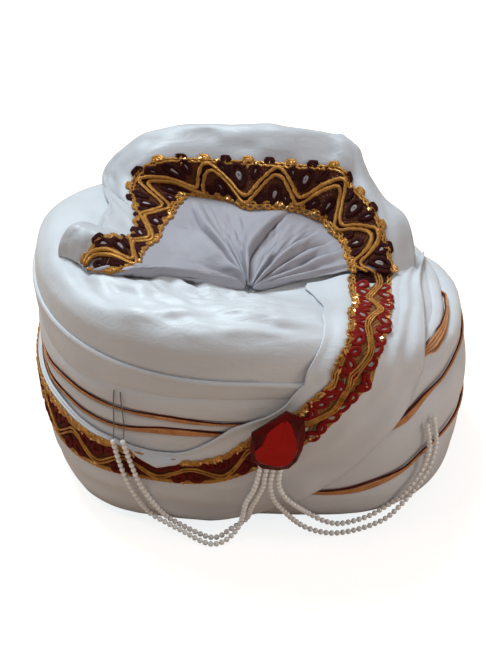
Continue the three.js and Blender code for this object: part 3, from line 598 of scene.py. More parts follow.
def woven(name, light, dark, rough, threads, crumple, relief, sheen, dull_shaded_side=None):
    """Cloth: weave and handling marks as relief, tint and roughness that follow the marks.
    The last argument, if given, is a darker colour painted as shade on the hood's inner fan, shown
    where the attribute of the same name is 1, with a rougher finish there."""
    made, n, shader = new_material(name)
    weave = n.use(WEAVE, {"Vector": n.cloth(), "Threads": threads}).outputs[0]
    marks = n.use(CRUMPLE, {"Vector": n.place(), "Size": crumple}).outputs
    tint = n.remap(marks["Mask"], 0.3, 0.7, 0.0, 1.0)
    shown, gloss = n.mix(tint, dark, light), n.remap(tint, 0, 1, rough + 0.05, rough - 0.05)
    # Where the attribute marks the hood's inner fan: the darker colour as painted shade, and a
    # rougher finish.
    if dull_shaded_side:
        side = n.add("ShaderNodeAttribute", attribute_name="dull_shaded_side").outputs["Fac"]
        shown = n.mix(side, shown, dull_shaded_side)
        gloss = n.math("ADD", gloss, n.math("MULTIPLY", side, 0.16))
    height = n.math("ADD", n.math("MULTIPLY", weave, 0.035),
                    n.math("MULTIPLY", marks["Height"], relief))
    n.wire(shader, {"Base Color": shown, "Roughness": gloss, "Normal": n.relief(height, 0.8),
                    "Sheen Weight": sheen, "Sheen Roughness": 0.4})
    return made


def twisted(name, light, dark, rough, metal, twists, relief=0.25):
    """Twisted thread or metal cord: plies as relief, with painted shade that darkens it between the
    plies.
    """
    made, n, shader = new_material(name)
    ply = n.use(PLIES, {"Vector": n.cloth(), "Twists": twists}).outputs[0]
    worn = n.patches(160.0)
    # shade is painted shade between the plies, times darker worn patches
    shade = n.math("MULTIPLY", n.remap(ply, 0, 1, 0.35, 1.0), n.remap(worn, 0, 1, 0.55, 1.0))
    n.wire(shader, {"Base Color": n.mix(shade, dark, light), "Metallic": metal,
                    "Roughness": n.remap(worn, 0, 1, rough + 0.12, rough - 0.05),
                    "Normal": n.relief(n.math("MULTIPLY", ply, relief), 0.7),
                    "Specular IOR Level": 0.5 if metal else 0.2})
    return made


SATIN = woven("white satin", (0.70, 0.71, 0.735), (0.635, 0.64, 0.665),
              0.40, 2600.0, 26.0, 1.7, 0.1)
# The white satin darkened as painted shade, for the hood's cloth in its own shade; the last colour
# darkens the inner fan further as painted shade.
SHADED_HOOD_SATIN = woven("hood satin in painted shade", (0.58, 0.58, 0.605), (0.53, 0.53, 0.55),
                   0.42, 2600.0, 26.0, 1.5, 0.1, (0.37, 0.35, 0.385))
COTTON = woven("maroon lining cloth", (0.20, 0.028, 0.032), (0.13, 0.016, 0.02),
               0.88, 1400.0, 60.0, 0.5, 0.2)
# The cords below: the second colour is the cord darkened as painted shade between the plies, and
# where it is worn.
GOLD = twisted("gold cord", (0.86, 0.42, 0.085), (0.24, 0.065, 0.012), 0.36, 0.6, 560.0, 0.7)
COPPER = twisted("copper piping thread", (0.82, 0.39, 0.15), (0.30, 0.08, 0.028), 0.4, 0.5, 520.0)
FOIL = twisted("bright gold foil", (1.0, 0.66, 0.28), (0.72, 0.38, 0.12), 0.2, 1.0, 90.0)
NET = twisted("golden lace net", (0.46, 0.20, 0.06), (0.12, 0.035, 0.012), 0.8, 0.0, 900.0)
DARK_NET = twisted("brown lace net", (0.17, 0.045, 0.015), (0.05, 0.012, 0.006), 0.8, 0.0, 900.0)
PALE = twisted("pale lace thread", (0.48, 0.44, 0.43), (0.26, 0.22, 0.21), 0.7, 0.0, 700.0)
MAROON = twisted("maroon lace thread", (0.33, 0.009, 0.006), (0.13, 0.004, 0.003),
                 0.8, 0.0, 900.0)
DEEP_MAROON = twisted("deep maroon lace thread", (0.17, 0.006, 0.004), (0.045, 0.003, 0.002),
                      0.8, 0.0, 900.0)
# The maroon lace thread darkened nearly to black as painted shade, for the hood's lace in the
# hood's shade; the front lace's turned end uses it too.
SHADED_MAROON = twisted("maroon lace thread in painted shade", (0.050, 0.004, 0.003), (0.016, 0.0015, 0.0015),
                      0.85, 0.0, 900.0)
THREAD = twisted("grey sewing thread", (0.30, 0.27, 0.25), (0.14, 0.12, 0.11), 0.6, 0.0, 1200.0)


def pearl_material():
    """Pearl: a pale glossy bead with cloudy warm and cool patches."""
    made, n, shader = new_material("bead pearl")
    cloud = n.patches(240.0, 2.0)
    n.wire(shader, {"Base Color": n.mix(cloud, (0.90, 0.86, 0.81), (0.98, 0.96, 0.94)),
                    "Roughness": n.remap(cloud, 0, 1, 0.3, 0.2),
                    "Coat Weight": 0.5, "Coat Roughness": 0.12})
    return made


def stone_material():
    """Red stone: its own red, painted bright on the table and dark on the other facets, each facet
    by its own amount, as painted light through and off the cut.
    """
    made, n, shader = new_material("red cut stone")
    # depth is each facet's painted light from the attribute cut: 1 on the table, low and uneven
    # elsewhere.
    depth = n.add("ShaderNodeAttribute", attribute_name="cut").outputs["Fac"]
    cloud = n.patches(90.0, 2.0, 0.3, 0.7, 0.85)
    tint = n.mix(n.math("MULTIPLY", depth, cloud), (0.035, 0.0015, 0.0015), (0.42, 0.005, 0.002))
    n.wire(shader, {"Base Color": tint, "Roughness": n.remap(cloud, 0.85, 1, 0.26, 0.18),
                    "Specular IOR Level": 0.12})
    return made


def plate_material():
    """Thin brass plate with duller patches."""
    made, n, shader = new_material("brass plate")
    worn = n.patches(300.0)
    n.wire(shader, {"Base Color": n.mix(worn, (0.45, 0.30, 0.12), (0.72, 0.55, 0.26)),
                    "Roughness": n.remap(worn, 0, 1, 0.5, 0.3), "Metallic": 0.9})
    return made


PEARL, RED_STONE, PLATE = pearl_material(), stone_material(), plate_material()


def finish_piece(made, node):
    """Rides on the one body, and stands for its node if it has one."""
    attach(made, "root")
    if node:
        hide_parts(node)


FINE = 2
STEPS = 210 * FINE
around_angles = -180 + 360 * np.arange(STEPS) / STEPS


# Lining: a thin cap with a narrow brim
def make_lining():
    """Rings from the top of the dome outside, down, out along the brim and back up inside."""
    a = around_angles[::2]
    wall_thick, straight, top = HOLLOW["wall"], HOLLOW["straight"], HOLLOW["top"]
    heights = straight + (top - straight) * np.sin(np.linspace(0.02, 0.98, 14) * np.pi / 2)
    outside = [hollow(a, z + wall_thick * ramp(z, straight, top), wall_thick)
               for z in heights[::-1]]
    outside += [hollow(a, z, wall_thick) for z in np.linspace(60, 1.9, 8)]
    brim = [wall(a, 0) * [share, share, 0] + [0, 0, z]
            for share, z in ((0.93, 1.9), (0.972, 1.6), (0.972, 0.3), (0.93, 0.0))]
    inside = [hollow(a, z, 0) for z in np.linspace(0, 60, 8)]
    inside += [hollow(a, z, 0) for z in heights]
    rings = np.stack(outside + brim + inside, 1)
    poles = ([0, 0, top + wall_thick], [0, 0, top])
    finish_piece(skin("lining_cap", rings, COTTON, around=True, poles=poles), "lining")


def rolling(a, v, seed):
    """Slack in the padding: broad bumps about 35 mm long and finer ones about 14 mm."""
    return 0.7 * ring_noise(a, 22, v * 7, seed) + 0.3 * ring_noise(a, 54, v * 16, seed + 1)


SOFT_DEPTH = (0, 4.2, 4.2, 4.2, 1.3, 0.7)


def make_wrap(k):
    """One wound layer: off the cloth between creases k and k + 1, its depth falling off as
    exp(-distance / lip) from each crease, with small puckers along the folds. The top layer
    has a raised edge."""
    a = around_angles[:, None]
    lo = crease(a, k) if k else 0 * a
    hi = crease(a, k + 1)
    tall = by_side(TOP, a)
    share = np.linspace(0, 1, 14 * FINE + 1)[None, :]
    v = lo + (hi - lo) * (1 - np.cos(share * np.pi)) / 2
    right = ramp(np.sin(turn(a) * RAD), 0.2, 0.7)
    room = (hi - lo) * tall
    lip, wide_lip = np.minimum(1.5 + 3.2 * right, room * 0.2), np.minimum(5.0, room * 0.25)
    lip_lo = wide_lip if k == 4 else lip
    lip_hi = {3: wide_lip, 4: 0.8}.get(k, lip)
    below, above = (v - lo) * tall, (hi - v) * tall
    depth = SOFT_DEPTH[k] * np.exp(-below / lip_lo) + SOFT_DEPTH[k + 1] * np.exp(-above / lip_hi)
    near = np.exp(-below / 7) * (k > 0) + np.exp(-above / 7)
    free = np.minimum(1, np.minimum(below, above) / 5)
    out = -0.35 - depth + 0.25 * ring_noise(a, 110, v * 9, 40 + k) * near * free
    out = out + free * (0.35 * rolling(a, v, 60 + k) + 0.3 * right)
    if k == 4:
        out = out + 0.4 * np.exp(-((above - 1.6) / 1.5) ** 2)
    outer = off(a, v, out)
    a, lo, hi = a[:, 0], lo[:, 0], hi[:, 0]
    foot_out = 0.8 - SKIRT
    if k < 3:
        rise = JOINT
        if k == 0:
            rise = np.maximum(read(LIFT, 1, turn(a)), 0)
            rim = ROOT[0] + rise[:, None] + 1.2 * ramp(v, 0.12, 0.0)
            outer[..., 2] = np.maximum(outer[..., 2], rim)
        inner = [hollow(a, z, LINING_GAP) for z in (ROOT[k + 1] - JOINT, ROOT[k] + rise)]
    elif k == 3:
        inner = [off(a, hi - 0.003, foot_out), off(a, lo + 0.003, foot_out)]
    else:
        inner = [off(a, hi, -2.9), off(a, hi - 0.1, 0.2 - SKIRT),
                 off(a, np.minimum(lo, hi - 0.1) + 0.003, foot_out)]
    section = np.concatenate([outer, np.stack(inner, 1)], 1)
    made = skin(f"wound_layer_{k + 1}", section, SATIN, around=True)
    finish_piece(made, f"wrap_{k + 1}")


# Crown: soft padded top, puckered round the gather
def make_crown():
    """Cloth from the top edge to the gather. Its height out is a roll along the edge, plus
    bumps and dents that are deeper in front and on the left, plus puckers that grow towards
    the gather. A skirt and a floor close it."""
    a = around_angles[:, None]
    edge = crease(a, 5)
    share = np.linspace(0, 1, 62 * FINE)[None, :] ** 0.9
    v = edge - 0.012 + (1.965 - edge + 0.012) * share
    step = 1 - ramp((v - edge) * by_side(TOP, a), -0.5, 5.5)
    covered = ramp(turn(a), 8, 26) * (1 - ramp(turn(a), 105, 130))
    front = ramp(np.cos(a * RAD), -0.1, 0.6)
    spokes = ring_noise(a, 44, 0 * v, 11)
    near = ramp(v, 1.62, 1.95)
    bumps = rolling(a, v, 21)
    swell = ramp(v, 1.02, 1.16) * (1 - near) * (1 - 0.9 * covered)
    dents = ring_noise(a, 34, v * 13, 31)
    left = ramp(turn(a), -130, -95) * (1 - ramp(turn(a), -30, 20))
    slack = 2.2 * bumps + (1.4 + 1.2 * left) * dents + 0.5 * ring_noise(a, 80, v * 30, 33)
    out = -2.2 * step + swell * slack * (0.3 + 0.7 * front) - 0.9 * covered
    out = out + near * (0.9 * spokes - 0.6)
    out = out + (0.8 * front + 2.6 * left) * np.exp(-((v - 1.13) / 0.09) ** 2)
    top = off(a, v, out)
    flat_a = a[:, 0]
    under = [off(flat_a, edge[:, 0], -3.4), off(flat_a, edge[:, 0] - 0.1, -SKIRT - 1)]
    under += [hollow(flat_a, z, LINING_GAP)
              for z in (ROOT[3] + JOINT, HOLLOW["straight"], 80, 95, 103)]
    rings = np.concatenate([top[:, ::-1], np.stack(under, 1)], 1)
    poles = (GATHER - [0, 0, 1.5], [0, 0, HOLLOW["top"] + LINING_GAP])
    made = skin("padded_crown", rings, SATIN, around=True, poles=poles)
    finish_piece(made, "crown")


# Hood: a fan of folds from the gather, standing into a lace-edged wall
# a fold: its stations at four shares of the way out, height, width, steep side and reach
FOLDS = [
    [(1.6, 1.5, 1.1, 0.7), 3.4, 0.7, 1, 1.5], [(2.9, 3.2, 2.6, 2.4), 3.6, 0.9, 1, 1.5],
    [(4.6, 5.6, 6.0, 5.6), 8.0, 1.5, 1, 1.0], [(6.6, 7.6, 7.4, 8.2), 5.0, 1.2, -1, 1.0],
    [(9.6, 10.0, 10.6, 11.2), 3.6, 1.2, 1, 0.6], [(12.6, 12.8, 14.0, 15.0), 6.5, 1.5, 1, 1.1],
    [(15.6, 15.9, 16.2, 16.4), 3.4, 1.0, -1, 0.55], [(18.6, 18.0, 18.4, 18.8), 6.5, 1.6, -1, 0.95],
    [(20.6, 19.8, 19.8, 20.0), 3.6, 0.9, -1, 1.0], [(21.8, 21.6, 21.1, 20.9), 3.4, 0.7, -1, 1.3],
    [(22.6, 22.6, 22.4, 22.2), 2.4, 0.5, -1, 1.3],
]
FOLD_SHARES = (0.1, 0.34, 0.65, 1.0)
hood_table = numbered(HOOD)


def folds(x, s):
    """Sum of knife pleats: each climbs over its width and drops over a fifth of it, starts
    at the gather and dies out at its own reach."""
    total = 0 * x * s
    for stations, height, width, steep, reach in FOLDS:
        line = np.interp(s, FOLD_SHARES, stations)
        d = (x - line) * steep / width
        profile = np.where(d < 0, ramp(d, -1, 0), 1 - ramp(d, 0, 0.22))
        fade = ramp(s, 0.02, 0.16) * (1 - ramp(s, reach * 0.55, reach))
        groove = np.exp(-((d - 0.26) / 0.1) ** 2) * (1 + 0.8 * ramp(s, 0.5, 0.2))
        total = total + (height * profile - 2.2 * groove) * fade
    return total


def smooth_rows(rows, r):
    """Smooth curve through the rows (k, n, 3), read at r from 0 to k - 1."""
    count = len(rows)
    slope = np.stack([(rows[min(i + 1, count - 1)] - rows[max(i - 1, 0)])
                      / (min(i + 1, count - 1) - max(i - 1, 0)) for i in range(count)])
    i = np.clip(np.floor(r).astype(int), 0, count - 2)
    t = (r - i)[:, None, None]
    u = 1 - t
    points = (rows[i] * u * u * (1 + 2 * t) + rows[i + 1] * t * t * (1 + 2 * u)
              + t * u * (slope[i] * u - slope[i + 1] * t))
    return np.swapaxes(points, 0, 1)


def hood_grid(x, r):
    """Middle of the hood's cloth. r: 0 gather, 1 foot of the lace, 2 its top, 3 rim,
    4 back of the rolled hem, 5 its end."""
    table = np.stack([read(hood_table, k, x) for k in range(1, 9)], -1)
    a, v, top, rim = table[:, :1], table[:, 1:2], table[:, 2:5], table[:, 5:]
    lift = HOOD_CLEAR + HOOD_THICK / 2
    s = np.clip(r[r <= 1], 0.05, 1)[None, :]
    column = x[:, None]
    fan = off(a, 2 + (v - 2) * s, lift + 0.6 * s + 0.6 * ramp(s, 0.84, 1) + folds(column, s))
    foot = off(a[:, 0], v[:, 0], lift + 1.2)
    back = unit((rim - top) * [1, 1, 0])
    ends = 1 - ramp(x, 20.2, 22.2)[:, None]
    hem = rim + back * (2 + (HEM_BACK - 2) * ends) - [0, 0, 1.5]
    tail = rim + back * (2.5 + (HEM_BACK - 0.5) * ends) - [0, 0, 1] * (2 + (HEM_DROP - 2) * ends)
    rows = np.stack([foot, (foot + top) / 2, top, rim, hem, tail])
    standing = r[r > 1]
    upright = smooth_rows(rows, np.where(standing < 2, (standing - 1) * 2, standing))
    upright[..., 2] = np.maximum(upright[..., 2], crown_height(upright) + 3.2)
    place_a, place_v = crown_place(upright)
    flat = off(place_a, place_v, 3.3 - 1.9 * ramp(column, 21.6, 22.8) * ramp(standing, 2.0, 2.3))
    lying = ramp(column, 20.6, 22.8) * ramp(standing[None, :], 1.0, 2.1)
    upright = upright + (flat - upright) * lying[..., None]
    return np.concatenate([fan, upright], 1)


def grid_normals(grid):
    """Unit normals of a grid by the cross of its two gradients."""
    return unit(np.cross(np.gradient(grid, axis=0), np.gradient(grid, axis=1)))


def make_hood():
    """The sheet between the middle surface moved half the thickness both ways, thinner at
    the gather, with slack ripples on the margin."""
    x = np.linspace(0, len(HOOD) - 1, 280 * FINE)
    r = np.concatenate([np.linspace(0.05, 1, 18 * FINE), np.linspace(1.05, 2, 6 * FINE),
                        np.linspace(2.1, 3, 5 * FINE), np.linspace(3.1, 5, 7 * FINE)])
    grid = hood_grid(x, r)
    n = grid_normals(grid)
    if n[len(x) // 2, len(r) // 4, 2] < 0:
        n = -n
    margin = ramp(r, 2.0, 2.4) * (1 - ramp(r, 3.6, 4.6))
    ripple = 1.0 * noise(x[:, None] * 1.6, r[None, :] * 2.2, 77, 64) * margin
    crumple = noise(x[:, None] * 2.3, r[None, :] * 9, 78, 64)
    ripple = ripple + 0.7 * crumple * ramp(r, 0.12, 0.35) * (1 - ramp(r, 0.8, 0.98))
    grid = grid + n * ripple[..., None]
    ends = 1 - 0.7 * ramp(x, 21.6, 23)
    half = HOOD_THICK / 2 * (np.minimum(1, 0.45 + r)[None, :] * ends[:, None])[..., None]
    made = band("hood_fan", grid + n * half, grid - n * half, SHADED_HOOD_SATIN)
    # 1 on the inner fan and the foot of the lace: there the hood's satin takes its darker colour as
    # painted shade, and a rougher finish.
    dull_and_shaded = np.broadcast_to(1 - ramp(r, 1.7, 2.1), (len(x), len(r)))
    layer = made.data.attributes.new("dull_shaded_side", "FLOAT", "POINT")
    layer.data.foreach_set("value", np.concatenate([dull_and_shaded, dull_and_shaded[:, ::-1]], 1).ravel())
    finish_piece(made, "hood")
    return made


# Sash: over the hood's end, down the front and round the side
LACE_PLACES = np.linspace(1.03, 1.97, 9)
LAP_AT, LAP_LIFT = 17.2, 3.8
SASH_POINTS = 500
sash_table = numbered(SASH)


def sash_point(x, across, out):
    """Point on the cloth under the sash: the table's four lines joined straight across."""
    k = np.clip(np.floor(across), 0, 2).astype(int)
    share = across - k

    def between(first):
        """The table's angles (first 1) or heights (first 2) at the places across."""
        lines = np.stack([read(sash_table, first + 2 * j, x) for j in range(4)], -1)
        here, beyond = (np.take_along_axis(lines, index, 1) for index in (k, k + 1))
        return here * (1 - share) + beyond * share

    return off(between(1), between(2), out)


def make_sash():
    """Top surface off the cloth by the sash's thickness, with long soft folds beside the
    lace, rolled hems, and a pointed fold that laps over the side lace at one station. The
    underside is close to the wraps."""
    x = np.linspace(0, len(SASH) - 1, 330 * FINE)
    across = np.concatenate([np.linspace(0, 1, 6 * FINE), np.linspace(1.06, 2, 5 * FINE),
                             np.linspace(2.04, 3, 10 * FINE)])
    grid_x, grid_c = np.meshgrid(x, across, indexing="ij")
    edge = np.minimum(grid_c, 3 - grid_c)
    roll = 1 - ramp(edge, 0, 0.05)
    hem = np.exp(-((edge - 0.1) / 0.05) ** 2) * 0.5
    outer = ramp(grid_c, 2.05, 2.2)
    long_folds = 0.8 * np.sin(grid_c * 13 + 1.6 * np.sin(grid_x * 0.45) + 0.5 * grid_x)
    slack = noise(grid_x * 0.9, grid_c * 2.4, 91, 64)
    fade = 1 - ramp(grid_x, 22, 27)
    out = SASH_UNDER + SASH_THICK + outer * fade * (0.7 * long_folds + 1.0 * slack) * (1 - roll)
    inner = 1 - ramp(grid_c, 0.3, 0.95)
    thin = 1 - ramp(grid_x, 6, 9)
    out = out - 0.8 * outer * (1 - ramp(grid_x, 0, 0.8))
    out = out - inner * (1.1 + 0.95 * thin) + inner * (1 - thin) * 0.25 * slack + hem * outer * 0.7
    out = out - roll * SASH_THICK * (0.2 * (1 - thin) + 0.25 * outer)
    over = np.exp(-((grid_c - 0.97) / 0.22) ** 2)
    away = np.abs(grid_x - LAP_AT)
    tip = np.exp(-(away / 0.5) ** 1.5) * over
    lifted = LAP_LIFT * np.exp(-away ** 4) * over
    top = sash_point(x, grid_c + 0.24 * tip, out + lifted)
    under = SASH_UNDER - inner * (0.5 + 0.4 * thin) + roll * SASH_THICK * 0.2 * (1 - thin)
    bottom = sash_point(x, grid_c, np.minimum(under, out - 0.35))
    made = band("front_sash", top, bottom, SATIN)
    finish_piece(made, "sash")
    return made


def sash_strip(lo, hi, drawn=1.0):
    """Strip of the sash that carries the lace, with its inner edge at share 0."""
    x = np.linspace(lo, hi, SASH_POINTS)
    across = np.broadcast_to(LACE_PLACES, (SASH_POINTS, len(LACE_PLACES)))
    return strip_table(sash_point(x, across, SASH_UNDER + SASH_THICK), drawn=drawn)


# Lace: a repeat of leaf loops, waves of gold cord and looped edges, laid on a strip
REPEAT = 37.0
WIDTH = 30.0
LACE_LIFT = 0.3
END_CLEAR = 0.4
SCALLOPS = 6
BUMP_EVERY = 1.75
SPIKE_EVERY = 12.0
NET_HEIGHT = 24
FOIL_EVERY = 3.8


def strip_table(points, towards=None, drawn=1.0):
    """Dense table of a strip (n, m, 3): its points, normals and running length in mm. The
    normals face away from the head, or towards a point if one is given. The lace's start is
    drawn out lengthwise where drawn is below 1."""
    middle = points[:, points.shape[1] // 2]
    run = np.linalg.norm(np.diff(middle, axis=0), axis=-1)
    run = run * (drawn + (1 - drawn) * ramp(np.arange(len(run)) / len(run), 0.0, 0.5))
    run = np.r_[0, run.cumsum()]
    normals = grid_normals(points)
    facing = points - [0, 0, 60] if towards is None else towards - points
    if np.sum(normals * facing) < 0:
        normals = -normals
    return points, normals, run


def on_strip(strip, along, across, lift):
    """Points and normals at distance along (mm) and share across, read straight between
    the table's points and raised by lift along the normal."""
    points, normals, run = strip
    i = np.interp(along, run, np.arange(len(run)))
    j = np.clip(across, 0, 1) * (points.shape[1] - 1)
    i0 = np.clip(np.floor(i).astype(int), 0, len(run) - 2)
    j0 = np.clip(np.floor(j).astype(int), 0, points.shape[1] - 2)
    s, t = (i - i0)[..., None], (j - j0)[..., None]

    def blend(table):
        """The table read between its four nearest points."""
        return ((table[i0, j0] * (1 - s) + table[i0 + 1, j0] * s) * (1 - t)
                + (table[i0, j0 + 1] * (1 - s) + table[i0 + 1, j0 + 1] * s) * t)

    normal = unit(blend(normals))
    return blend(points) + normal * np.asarray(lift)[..., None], normal


def wave(x):
    """Rounded zigzag: cos + a twentieth of the cosine of three times the angle."""
    angle = 2 * np.pi * x / REPEAT
    return np.cos(angle) + np.cos(3 * angle) / 20


def leaf(centre_x, centre_y, half_x, half_y, lean, count=16):
    """Pointed oval loop in the plane of the lace, turned by lean degrees."""
    t = np.arange(count) / count * 2 * np.pi
    x = half_x * np.sin(t) * (0.75 + 0.25 * np.cos(t))
    y = half_y * np.cos(t)
    c, s = np.cos(lean * RAD), np.sin(lean * RAD)
    return join(centre_x + x * c - y * s, centre_y + x * s + y * c)


# Every lace: height of the waves, their middle line, the cords side by side, cord radius,
# radius of the leaf loops, spacing and thread of the net, cloth seen through the loops, outer
# bumps, share of the length before the inner spikes, edge cord weight, and its leaves
HALF = REPEAT / 2
HOOD_LACE = {
    "swing": 7.8, "middle": 14.4, "cords": (-2.2, 2.2), "cord": 1.1, "leaf": 1.5,
    "net": (3.0, DARK_NET), "hearts": True, "bumps": True, "spikes": 0.0, "edge": 1.1,
    "leaves": [
        leaf(HALF - 2.0, 19.2, 3.6, 6.0, 6), leaf(HALF + 6.4, 22.0, 2.0, 3.8, -18),
        leaf(0.5, 8.8, 3.2, 4.9, -6), leaf(HALF - 10.0, 22.6, 2.0, 3.4, 26),
        leaf(-8.4, 6.4, 2.0, 3.0, -34), leaf(8.8, 6.4, 2.0, 3.0, 34),
    ]}
FRONT_LACE = {
    "swing": 3.8, "middle": 16.4, "cords": (-1.8, 0.0, 1.8), "cord": 0.52, "leaf": 1.35,
    "net": (3.4, NET), "hearts": True, "bumps": False, "spikes": 0.42, "edge": 0.6,
    "leaves": [
        leaf(REPEAT * (start + share), height + shift, 2.9, 4.2, lean)
        for height, start in ((9.0, 0.05), (24.0, 0.13))
        for share, shift, lean in ((0.0, -0.6, 28), (0.2, 0.4, -36), (0.4, 1.0, 14),
                                   (0.6, 0.4, -30), (0.8, -0.5, 40))
    ]}
SIDE_LACE = {
    "swing": 6.6, "middle": 15.5, "cords": (-1.5, 1.5), "cord": 0.55, "leaf": 1.7,
    "net": (2.6, DARK_NET), "hearts": False, "bumps": False, "spikes": 0.0, "edge": 1.3,
    "leaves": [
        leaf(HALF - 3.0, 20.2, 4.2, 5.4, 24), leaf(HALF + 6.2, 21.6, 2.8, 4.2, -24),
        leaf(0, 9.8, 4.0, 5.0, -16), leaf(-9.4, 7.6, 2.8, 3.8, -34),
        leaf(9.4, 7.6, 2.8, 3.8, 34),
    ]}


class Lace:
    """One length of lace, as cords laid on a strip. Whole repeats are stretched to fill it."""

    def __init__(self, name, strip, thread, lift, style):
        """Holds the strip, the dark thread, the height off the cloth and the style."""
        self.name, self.strip, self.thread, self.lift = name, strip, thread, lift
        self.style = style
        self.total = strip[2][-1]
        self.repeats = max(1, round(self.total / REPEAT))
        self.stretch = self.total / self.repeats / REPEAT
        self.made = []

    def keep(self, label, paths, rise, wide, tall, material, closed=False, sides=5):
        """Cords along the paths that lie wholly on the strip."""
        along = paths[..., 0]
        whole = ((along > END_CLEAR) & (along < self.total - END_CLEAR)).all(1)
        wide = np.broadcast_to(wide, along.shape)[whole]
        paths = paths[whole]
        points, normals = on_strip(self.strip, paths[..., 0], paths[..., 1] / WIDTH,
                                   self.lift + rise)
        side = side_vectors(points, normals, closed)
        self.made.append(tubes(f"{self.name}_{label}", points, side, normals, wide, tall,
                               material, closed, sides))

    def leaf_loops(self):
        """Leaf loops in every repeat, and pale loops inside them for the cloth behind."""
        loops = np.stack(self.style["leaves"])
        starts = np.arange(self.repeats) * self.total / self.repeats
        shift = join(starts + self.stretch * REPEAT / 4, 0.0)[:, None, None]
        placed = (loops[None] * [self.stretch, 1] + shift).reshape(-1, *loops.shape[1:])
        uneven = 1 + 0.12 * np.sin(np.arange(len(placed)) * 2.4)[:, None, None]
        centre = placed.mean(1, keepdims=True)
        placed = centre + (placed - centre) * uneven
        self.keep("leaves", placed, 0.5, self.style["leaf"], 0.9, self.thread, True, sides=6)
        if self.style["hearts"]:
            inside = centre + (placed - centre) * 0.3
            self.keep("loop_hearts", inside, 0.5, 0.9, 0.4, PALE, True)

    def waves(self, x):
        """Gold cords side by side along the rounded zigzag, and their filling."""
        swing = wave(x / self.stretch - REPEAT / 4)
        uneven = 1 + 0.15 * noise(x / REPEAT * 1.7, 0 * x, 17, 64)
        middle = self.style["middle"] + self.style["swing"] * swing * uneven
        gold = [join(x, middle + d + 0.35 * noise(x / 1.7, 0 * x + i, 18, 512))
                for i, d in enumerate(self.style["cords"])]
        knots = 1 + 0.3 * noise(x / 1.3, 0 * x, 19, 512) + 0.22 * (np.arange(len(x)) % 2)
        self.keep("waves", np.stack(gold), 0.95, self.style["cord"] * knots, 0.8, GOLD, sides=6)
        fill = np.stack([join(x, middle + d) for d in (-0.9, 0.9)])
        self.keep("filling", fill, 0.35, 0.9, 0.5, self.thread)

    def edges(self, x, pitch):
        """Four wavy edge cords, and half round scallops along the inner edge."""
        edge = self.style["edge"]
        lines = [join(x, y + 0.45 * np.sin(x * 1.9 + y * 2)) for y in (2.4, 4.0, 26.0, 27.6)]
        self.keep("edge_cords", np.stack(lines), 0.45, 0.6 + 0.2 * edge, 0.6, GOLD)
        where = np.arange(pitch / 2, self.total - pitch / 2, pitch)
        t = np.linspace(0, np.pi, 9)
        scallop = join(np.cos(t) * pitch * 0.42, -np.sin(t) * 2.2)
        low = join(where + pitch / 2, 2.2)[:, None] + scallop
        uneven = edge * (1 + 0.35 * np.sin(np.arange(len(low)) * 1.9))[:, None]
        self.keep("inner_scallops", low, 0.4, uneven, 0.7, GOLD)

    def bumps(self, pitch):
        """Arches along the outer edge, gold and dark by turns, each with a small one inside."""
        t = np.linspace(0, np.pi, 9)
        peaks = join(np.arange(pitch, self.total - pitch, BUMP_EVERY * pitch), 27.2)[:, None]
        arc = join(np.cos(t) * 2.1, np.sin(t) * 4.5)
        top, small = peaks + arc, peaks + arc * 0.42
        for label, first, material in (("bumps_gold", 0, GOLD), ("bumps_dark", 1, self.thread)):
            both = np.concatenate([top[first::2], small[first::2]])
            self.keep(label, both, 0.4, 1.2, 0.7, material)
        self.keep("bumps_rim", top[1::2] + [0, 1.3], 0.5, 0.6, 0.4, GOLD, sides=4)

    def spikes(self):
        """Pointed arches along the inner edge, each with a small one inside, and a zigzag."""
        first = self.total * self.style["spikes"]
        spots = join(np.arange(first, self.total - 4, SPIKE_EVERY), 0.0)[:, None]
        spike = np.array([[-3.6, 7.4], [-2.0, 5.0], [0.0, 0.8], [2.0, 5.0], [3.6, 7.4]])
        for share, label in ((1.0, "spikes"), (0.5, "spike_hearts")):
            paths = spots + (spike - [0, 7.4]) * share + [0, 7.4]
            self.keep(label, paths, 0.5, 1.2, 0.6, self.thread)
        along = np.arange(1.5, self.total - 1.5, 2.6)
        zigzag = join(along, np.where(np.arange(len(along)) % 2, 6.4, 1.6))
        self.keep("edge_zigzag", zigzag[None], 0.3, 0.4, 0.35, GOLD, sides=4)

    def net(self):
        """Slanted threads both ways across."""
        spacing, ground = self.style["net"]
        base = np.arange(-WIDTH, self.total, spacing)[:, None]
        t = np.linspace(0, 1, 8)
        threads = [join(base + run * NET_HEIGHT, 3 + t * NET_HEIGHT) for run in (t, 1 - t)]
        self.keep("net", np.concatenate(threads), 0.0, 0.85, 0.3, ground, sides=4)

    def turned_end(self):
        """Cords across the start in the maroon thread darkened as painted shade, for the end that
        is turned under.
        """
        across = np.linspace(2.0, 28.0, 14)
        rows = [join(0.9 + 1.3 * i + 0.3 * np.sin(across + i), across) for i in range(6)]
        self.keep("turned_end", np.stack(rows), 0.35, 1.0, 0.7, SHADED_MAROON)

    def foil(self):
        """Bits of foil along both edges, at random places and angles."""
        random = np.random.RandomState(len(self.name) * 7)
        spots = random.uniform(3, self.total - 3, int(self.total / FOIL_EVERY))
        count = len(spots)
        rows = np.where(random.rand(count) < 0.7, random.uniform(1.6, 4.4, count),
                        random.uniform(24.5, 28.4, count))
        lift = self.lift + 0.9 + 0 * spots
        centres, normals = on_strip(self.strip, spots, rows / WIDTH, lift)
        angles = random.uniform(0, np.pi, count)
        self.made.append(chips(f"{self.name}_foil", centres, normals, angles))


